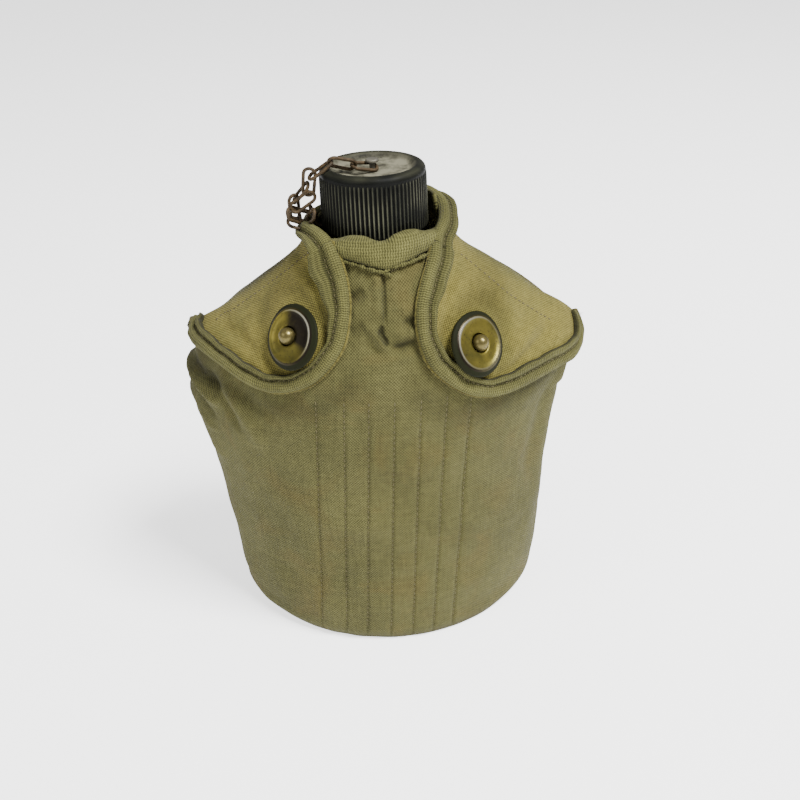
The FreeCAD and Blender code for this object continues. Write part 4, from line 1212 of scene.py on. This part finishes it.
def make_socket(side):
    """Rolled-rim plate with the ball's hole in it, over the CAD plate's place."""
    node = frame["nodes"][side + "_socket"]
    co = np.array([v.co for v in node.data.vertices]) / MM
    ball = np.array([v.co for v in frame["nodes"][side + "_stud"].data.vertices]) / MM
    centre = (co.max(0) + co.min(0)) / 2
    _, _, vt = np.linalg.svd(co - co.mean(0))
    axis = vt[2] if vt[2][1] < 0 else -vt[2]
    axis /= np.linalg.norm(axis)
    heights = (co - centre) @ axis
    low = heights.min()
    far = ball[np.argmax(ball @ axis)] - axis * BALL_PROUD
    foot = far - axis * ((far - centre) @ axis) + axis * low
    right = np.array([1.0, 0, 0]) - axis * axis[0]
    right /= np.linalg.norm(right)
    up = -np.cross(axis, right)
    if up[2] < 0:
        up = -up
    turn, off = (math.radians(10), (1.6, -0.4)) if side == "left" else (math.radians(-15), (-0.6, -0.2))
    n = 96
    a = turn_round(n)
    ox, oy = egg_ring(a, *PLATE_HALF, 0.10)
    c, s = math.cos(turn), math.sin(turn)
    ox, oy = ox * c - oy * s + off[0], ox * s + oy * c + off[1]
    hx, hy = BALL_HOLE_R * np.cos(a), BALL_HOLE_R * np.sin(a)
    # (share of the way from the outer edge to the hole, height)
    prof = [(0.05, -0.5), (0.0, 0.0), (-0.015, 0.4), (0.0, 0.85), (0.05, 1.1), (0.11, 1.35), (0.18, 1.75),
            (0.24, 2.05), (0.30, 2.15), (0.36, 2.0), (0.44, 1.75), (0.56, 1.6), (0.72, 1.6), (0.86, 1.65),
            (0.95, 1.65), (0.985, 1.45), (1.0, 1.0), (1.0, -0.4)]
    verts, wear_and_highlight, stain = [], [], []
    for f, h in prof:
        x, y = ox * (1 - f) + hx * f, oy * (1 - f) + hy * f
        for i in range(n):
            p = foot + right * x[i] + up * y[i] + axis * (h + 0.3)
            verts.append(p)
            ang = a[i]
            # worn silver along the crest, brighter on one side as a painted highlight
            crest = math.exp(-((f - 0.29) / 0.022) ** 2)
            skirt = 1.0 if f < 0.26 else 0.0
            if side == "left":
                silver_and_highlight = crest * max(0.0, math.cos(ang - 0.25)) ** 1.5
                turned = math.atan2(y[i], x[i])
                brown = (f > 0.3) * 0.85 * ease((1.5 - abs(turned - 0.35)) / 0.7)
                edge_dark = skirt * (0.75 + 0.25 * math.cos(ang + 0.9))
            else:
                silver_and_highlight = crest * (0.25 + 0.75 * max(0.0, math.cos(ang - 2.9))) * 0.9
                brown = 0.0
                edge_dark = skirt * (0.8 + 0.2 * math.cos(ang + 2.4))
            wear_and_highlight.append(min(1.0, silver_and_highlight))
            stain.append(min(1.0, max(brown, edge_dark * (1 - silver_and_highlight))))
    k = len(prof)
    faces = ring_faces(k, n)
    dark = [1 if r < 6 or r == k - 1 else 0 for r in range(k) for _ in range(n)]
    obj = mesh_object(side + "_socket_plate", verts, faces, None, {"wear_and_highlight": wear_and_highlight, "stain": stain},
                      [BRASS, OXIDE], dark)
    fix_normals(obj)
    put(obj, side + "_flap_body", "fastener_brass", side + "_socket")


for side in ("left", "right"):
    make_socket(side)
    dress(side + "_stud", STUD)
    dress(side + "_stud_washer", BRASS)
    dress(side + "_socket_back_plate", BRASS)


# ------------------------------------------------------------------------- cap
def make_cap():
    """The ribbed cap, from one closed outline (r, z): its side, shoulder, dished top, underside and thread."""
    ribs, per_rib = 76, 10
    count = ribs * per_rib
    base = 184.4
    side = [(20.3, base), (21.0, base), (21.2, base + 0.4), (21.15, base + 1.4), (21.1, 188), (21.05, 192),
            (21.0, 196), (20.95, 200), (20.9, 202.8), (20.85, 203.8), (20.75, 204.5)]
    shoulder = [(20.5, 204.9), (20.6, 205.3), (20.55, 205.9), (20.25, 206.7), (19.6, 207.4), (18.7, 207.85),
                (17.9, 208.0), (17.2, 207.9)]
    dish = [(16.5, 207.5), (15.9, 206.9), (15.3, 206.3), (14.0, 205.8), (11.5, 205.4), (8.5, 205.15),
            (5.0, 205.02), (2.5, 205.0), (1.2, 205.0)]
    underside = [(1.2, 198.1), (5.0, 198.1), (10.0, 198.1), (15.6, 198.1)]
    thread = [(16.4, 197.4), (16.4, 194.9), (15.6, 194.5), (15.6, 194.1), (16.4, 193.7), (16.4, 190.9),
              (15.6, 190.5), (15.6, 190.1), (16.4, 189.7), (16.4, 186.9), (15.7, 186.5), (15.7, 186.1),
              (16.4, 185.7), (16.6, base), (18.0, base)]
    profile = side + shoulder + dish + underside + thread
    last = len(side) - 1
    dished = range(last + len(shoulder) + 1, len(side + shoulder + dish))
    a = turn_round(count)
    wave = np.abs(np.cos(a * ribs / 2)) ** 0.9
    rings, wear_and_highlight, dust = [], [], []
    for i, (r, z) in enumerate(profile):
        radius, worn, dusty = np.full(count, float(r)), np.zeros(count), 0.0
        if 2 <= i <= last:
            radius -= 0.75 * min(1.0, (i - 1) / 1.5, (last + 0.6 - i) / 1.2) * (1 - wave)
            worn = ease((wave - 0.86) / 0.13) * 0.95
        elif last < i <= dished[0]:
            # painted highlight round the top rim
            worn += 0.35 * math.exp(-((z - 207.4) / 0.8) ** 2)
        if i in dished:
            dusty = max(0.0, min(1.0, (17.3 - r) / 3.0)) * 0.95
        rings.append(np.stack([radius * np.cos(a), radius * np.sin(a), np.full(count, float(z))], 1))
        wear_and_highlight.append(worn)
        dust.append(np.full(count, dusty))
    faces = ring_faces(len(profile), count)
    obj = mesh_object("cap_moulded", np.concatenate(rings), faces, None,
                      {"wear_and_highlight": np.array(wear_and_highlight), "dust": np.array(dust)}, [CAP])
    fix_normals(obj)
    put(obj, "cap", "cap_plastic", "cap_shell")


make_cap()


# ------------------------------------------------------- liner, bottom, strap
def make_liner():
    """The felt inside the cover: two walls and a bottom."""
    for name, back in (("liner_front", False), ("liner_back", True)):
        P, uv = panel_grid(3.6, 165.0, 60, 90, -3.2, back)
        N = grid_normals(P)
        obj = shell_object(name + "_felt", P, N, uv, 0.9, [FELT])
        put(obj, ROOT, "liner_felt", name)
    disc("liner_bottom_felt", 1.8, 3.4, -3.0, FELT, "liner_felt", "liner_bottom")


def disc(name, z0, z1, off, material, slot_name, node):
    """A flat piece of cloth cut to the cover's outline."""
    rows, cols = 16, 120
    x, y, shift = half_section(np.float64(0.0), off)
    n = len(x)
    pick = np.linspace(0, n - 1, cols // 2).astype(int)
    x, y = x[pick], y[pick]
    ring = np.concatenate([np.stack([x + shift, y], 1), np.stack([-x[::-1][1:-1] + shift, y[::-1][1:-1]], 1)])
    m = len(ring)
    centre = np.array([0.0, ring[:, 1].mean()])
    verts, faces, weave = [], [], []
    for z, order in ((z0, 1), (z1, -1)):
        base = len(verts)
        for r in range(1, rows + 1):
            f = r / rows
            for p in ring:
                q = centre + (p - centre) * f
                verts.append((q[0], q[1], z))
                weave.append(q)
        verts.append((centre[0], centre[1], z))
        weave.append(centre)
        ci = len(verts) - 1
        for r in range(rows - 1):
            for i in range(m):
                j = (i + 1) % m
                q = (base + r * m + i, base + r * m + j, base + (r + 1) * m + j, base + (r + 1) * m + i)
                faces.append(q if order == 1 else q[::-1])
        for i in range(m):
            j = (i + 1) % m
            faces.append((ci, base + i, base + j) if order == -1 else (ci, base + j, base + i))
    edge0, edge1 = (rows - 1) * m, (rows * m + 1) + (rows - 1) * m
    for i in range(m):
        j = (i + 1) % m
        faces.append((edge0 + i, edge0 + j, edge1 + j, edge1 + i))
    obj = mesh_object(name, verts, faces, np.array(weave), None, [material])
    fix_normals(obj)
    put(obj, ROOT, slot_name, node)


make_liner()
disc("cover_bottom_cloth", 0.0, 1.6, -1.65, CANVAS, "cover_canvas", "cover_bottom")


# ----------------------------------------------------------------- cap chain
LINK_R = 0.68                 # the wire's radius
LINK_HALF_L, LINK_HALF_W = 5.35, 2.2


def formed_link(name, centre, along, normal, body, replaced, seed):
    """A link bent from round wire, a little out of true, with the butt joint in one long side."""
    rng = np.random.default_rng(seed)
    along = np.array(along) / np.linalg.norm(along)
    normal = np.array(normal) - along * np.dot(normal, along)
    normal /= np.linalg.norm(normal)
    across = np.cross(normal, along)
    straight = LINK_HALF_L - LINK_HALF_W
    count, sides = 56, 10
    total = 4 * straight + 2 * np.pi * LINK_HALF_W
    pts = []
    for s in np.linspace(0, total, count + 1)[:-1]:
        if s < straight * 2:
            q = (-straight + s, -LINK_HALF_W)
        elif s < straight * 2 + np.pi * LINK_HALF_W:
            t = (s - straight * 2) / LINK_HALF_W
            q = (straight + LINK_HALF_W * math.sin(t), -LINK_HALF_W * math.cos(t))
        elif s < straight * 4 + np.pi * LINK_HALF_W:
            q = (straight - (s - straight * 2 - np.pi * LINK_HALF_W), LINK_HALF_W)
        else:
            t = (s - straight * 4 - np.pi * LINK_HALF_W) / LINK_HALF_W
            q = (-straight - LINK_HALF_W * math.sin(t), LINK_HALF_W * math.cos(t))
        pts.append(q)
    pts = np.array(pts)
    pinch, twist = rng.uniform(-0.05, 0.05), rng.uniform(-0.10, 0.10)
    verts, faces = [], []
    for i in range(count):
        x, y = pts[i]
        dx, dy = pts[(i + 1) % count] - pts[i - 1]
        size = math.hypot(dx, dy)
        side = np.array([dy / size, -dx / size])
        # the cut ends of the wire meet in the middle of one side
        notch = 0.16 * math.exp(-((x - 0.6) / 0.16) ** 2) if y < 0 else 0.0
        for j in range(sides):
            a = 2 * math.pi * j / sides
            r = LINK_R * (1 - notch)
            u = x + side[0] * r * math.cos(a)
            v = y * (1 + pinch * x / LINK_HALF_L) + side[1] * r * math.cos(a)
            w = r * math.sin(a) + twist * x * y / LINK_HALF_W * 0.5
            verts.append(np.array(centre) + along * u + across * v + normal * w)
            k = ((i + 1) % count) * sides
            faces.append((i * sides + j, k + j, k + (j + 1) % sides, i * sides + (j + 1) % sides))
    obj = mesh_object(name, verts, faces, None, None, [RUST])
    fix_normals(obj)
    put(obj, body, "chain_metal", *replaced)


def make_chain():
    """Each link follows its node's own place and lie; the slack ones lie in a bunch by the collar."""
    for name, node in frame["nodes"].items():
        if not name.startswith("chain_link"):
            continue
        co = np.array([v.co for v in node.data.vertices]) / MM
        centre = (co.max(0) + co.min(0)) / 2
        _, _, vt = np.linalg.svd(co - co.mean(0), full_matrices=False)
        body = next(b for b, members in frame["record"]["behaviour"]["bodies"].items() if name in members)
        formed_link(name.replace("chain_link", "wire_link"), centre, vt[0], vt[2], body, [name],
                    int(name[-1]))
    slack = [((-31.0, -7.6, 191.0), (0.35, 0.80, -0.45), (0.55, -0.55, 0.35)),
             ((-24.6, -8.2, 190.4), (-0.35, 0.75, -0.5), (-0.45, -0.55, 0.45)),
             ((-28.8, -5.4, 186.6), (0.93, 0.10, -0.36), (0.1, -0.5, 0.85)),
             ((-27.2, -7.4, 196.2), (0.80, 0.15, 0.50), (-0.2, 0.95, 0.1))]
    for i, (centre, along, normal) in enumerate(slack):
        formed_link("wire_link_slack_%d" % (i + 1), centre, along, normal, ROOT, [], 20 + i)


make_chain()


# ----------------------------------------------------------------- hook strap
STRAP_HALF_W = 22.0
BAR_YZ = (36.2, 126.0)        # the hook's bar
LOOP_R = 2.95                 # middle of the webbing round the bar


def make_strap():
    """Webbing sewn to the back panel: up, round the hook's bar, and back down on itself."""
    tree = BVHTree.FromPolygons(Pb.reshape(-1, 3).tolist(), grid_faces(*Pb.shape[:2]))

    def back_y(x, z):
        return tree.ray_cast(Vector((x, RAY_START, z)), Vector((0, -1, 0)))[0][1]

    columns = []
    for x in np.linspace(-STRAP_HALF_W, STRAP_HALF_W, 49):
        up = [(back_y(x, z) + 1.3, z) for z in np.linspace(62.0, 119.0, 39)]
        turn = [(BAR_YZ[0] + LOOP_R * math.cos(a), BAR_YZ[1] + LOOP_R * math.sin(a))
                for a in np.radians(np.linspace(200, -50, 22))]
        down = [(back_y(x, z) + 3.0, z) for z in np.linspace(119.0, 103.0, 14)]
        line = np.array(up + turn + down)
        for _ in range(3):
            line[1:-1] = 0.5 * line[1:-1] + 0.25 * (line[:-2] + line[2:])
        columns.append(np.column_stack([np.full(len(line), x), line]))
    P = np.stack(columns, 1)
    along = run_length(P[:, 24])
    uv = np.stack(np.meshgrid(P[0, :, 0], along), -1)
    N = grid_normals(P)
    if N[5, 24][1] < 0:
        N = -N
    ridge = 0.10 * np.cos(P[..., 0] * math.pi / 1.1)[..., None]
    obj = shell_object("strap_webbing", P + N * (0.7 + ridge), N, uv, 1.4, [WEB, WEB])
    fix_normals(obj)
    put(obj, ROOT, "strap_webbing", "hook_strap")
    seams = [[(-19, 104.5), (19, 104.5)], [(-19, 115.5), (19, 115.5)],
             [(-19, 104.5), (19, 115.5)], [(-19, 115.5), (19, 104.5)],
             [(-20, 64.5), (20, 64.5)], [(-20, 64.5), (-20, 98)], [(20, 64.5), (20, 98)], [(-20, 98), (20, 98)]]
    for i, ((x0, z0), (x1, z1)) in enumerate(seams):
        lift = 3.9 if i < 4 else 2.15
        pts = []
        for t in np.linspace(0, 1, 24):
            x, z = x0 + (x1 - x0) * t, z0 + (z1 - z0) * t
            pts.append((x, back_y(x, z) + lift, z))
        seam = stitches("strap_stitches_%d" % (i + 1), pts, [(0, 1, 0)] * len(pts), 2.4, [THREAD])
        put(seam, ROOT, "strap_webbing")


make_strap()


# ------------------------------------------------------------------ CAD nodes
for name in frame["nodes"]:
    if name.startswith("chain_link") or name == "neck_collar":
        dress(name, RUST)
    elif name.startswith("bottle"):
        dress(name, ALU)
dress("cap_gasket", RUBBER)
dress("cap_pin", PIN)
dress("cap_pin_washer", PIN)
dress("belt_hook", STEEL)


# ------------------------------------------------------------- floor and light
def make_stage():
    """A pale floor, an even white sky, a strong light at the front right and a weak one at the front left."""
    far = 3000
    corners = [(-far, -far, 0), (far, -far, 0), (far, far, 0), (-far, far, 0)]
    floor = mesh_object("floor", corners, [(0, 1, 2, 3)])
    m, _, bsdf = new_material("pale_floor")
    set_inputs(bsdf, Base_Color=(0.93, 0.93, 0.93, 1), Roughness=0.9, Specular_IOR_Level=0.1,
               Emission_Color=(1, 1, 1, 1), Emission_Strength=1.5)
    floor.data.materials.append(m)
    world = bpy.data.worlds.new("studio")
    world.use_nodes = True
    set_inputs(world.node_tree.nodes["Background"], Color=(1.0, 1.0, 1.0, 1), Strength=0.50)
    bpy.context.scene.world = world

    def area(name, loc, target, size, power):
        light = bpy.data.lights.new(name, "AREA")
        light.shape = "SQUARE"
        light.size = size
        light.energy = power
        obj = bpy.data.objects.new(name, light)
        bpy.context.scene.collection.objects.link(obj)
        obj.location = loc
        obj.rotation_euler = (Vector(target) - Vector(loc)).to_track_quat("-Z", "Y").to_euler()

    area("key", (0.75, -0.55, 1.6), (0, 0, 0.1), 0.6, 86.0)
    area("fill", (-1.4, -0.9, 1.2), (0, 0, 0.1), 1.0, 12.0)


make_stage()


def make_camera():
    """Looks down on the front, with a slight roll."""
    cam = bpy.data.cameras.new("view")
    cam.sensor_width = 36.0
    cam.lens = 40.5
    cam.clip_start = 0.01
    obj = bpy.data.objects.new("view", cam)
    bpy.context.scene.collection.objects.link(obj)
    pitch, roll = math.radians(30.4), math.radians(2.4)
    ahead = Vector((0, math.cos(pitch), -math.sin(pitch)))
    up = Vector((0, math.sin(pitch), math.cos(pitch)))
    right = Vector((1, 0, 0))
    r = right * math.cos(roll) - up * math.sin(roll)
    u = right * math.sin(roll) + up * math.cos(roll)
    m = Matrix((r, u, -ahead)).transposed().to_4x4()
    m.translation = Vector((0.0069, -0.344, 0.304))
    obj.matrix_world = m
    bpy.context.scene.camera = obj


make_camera()
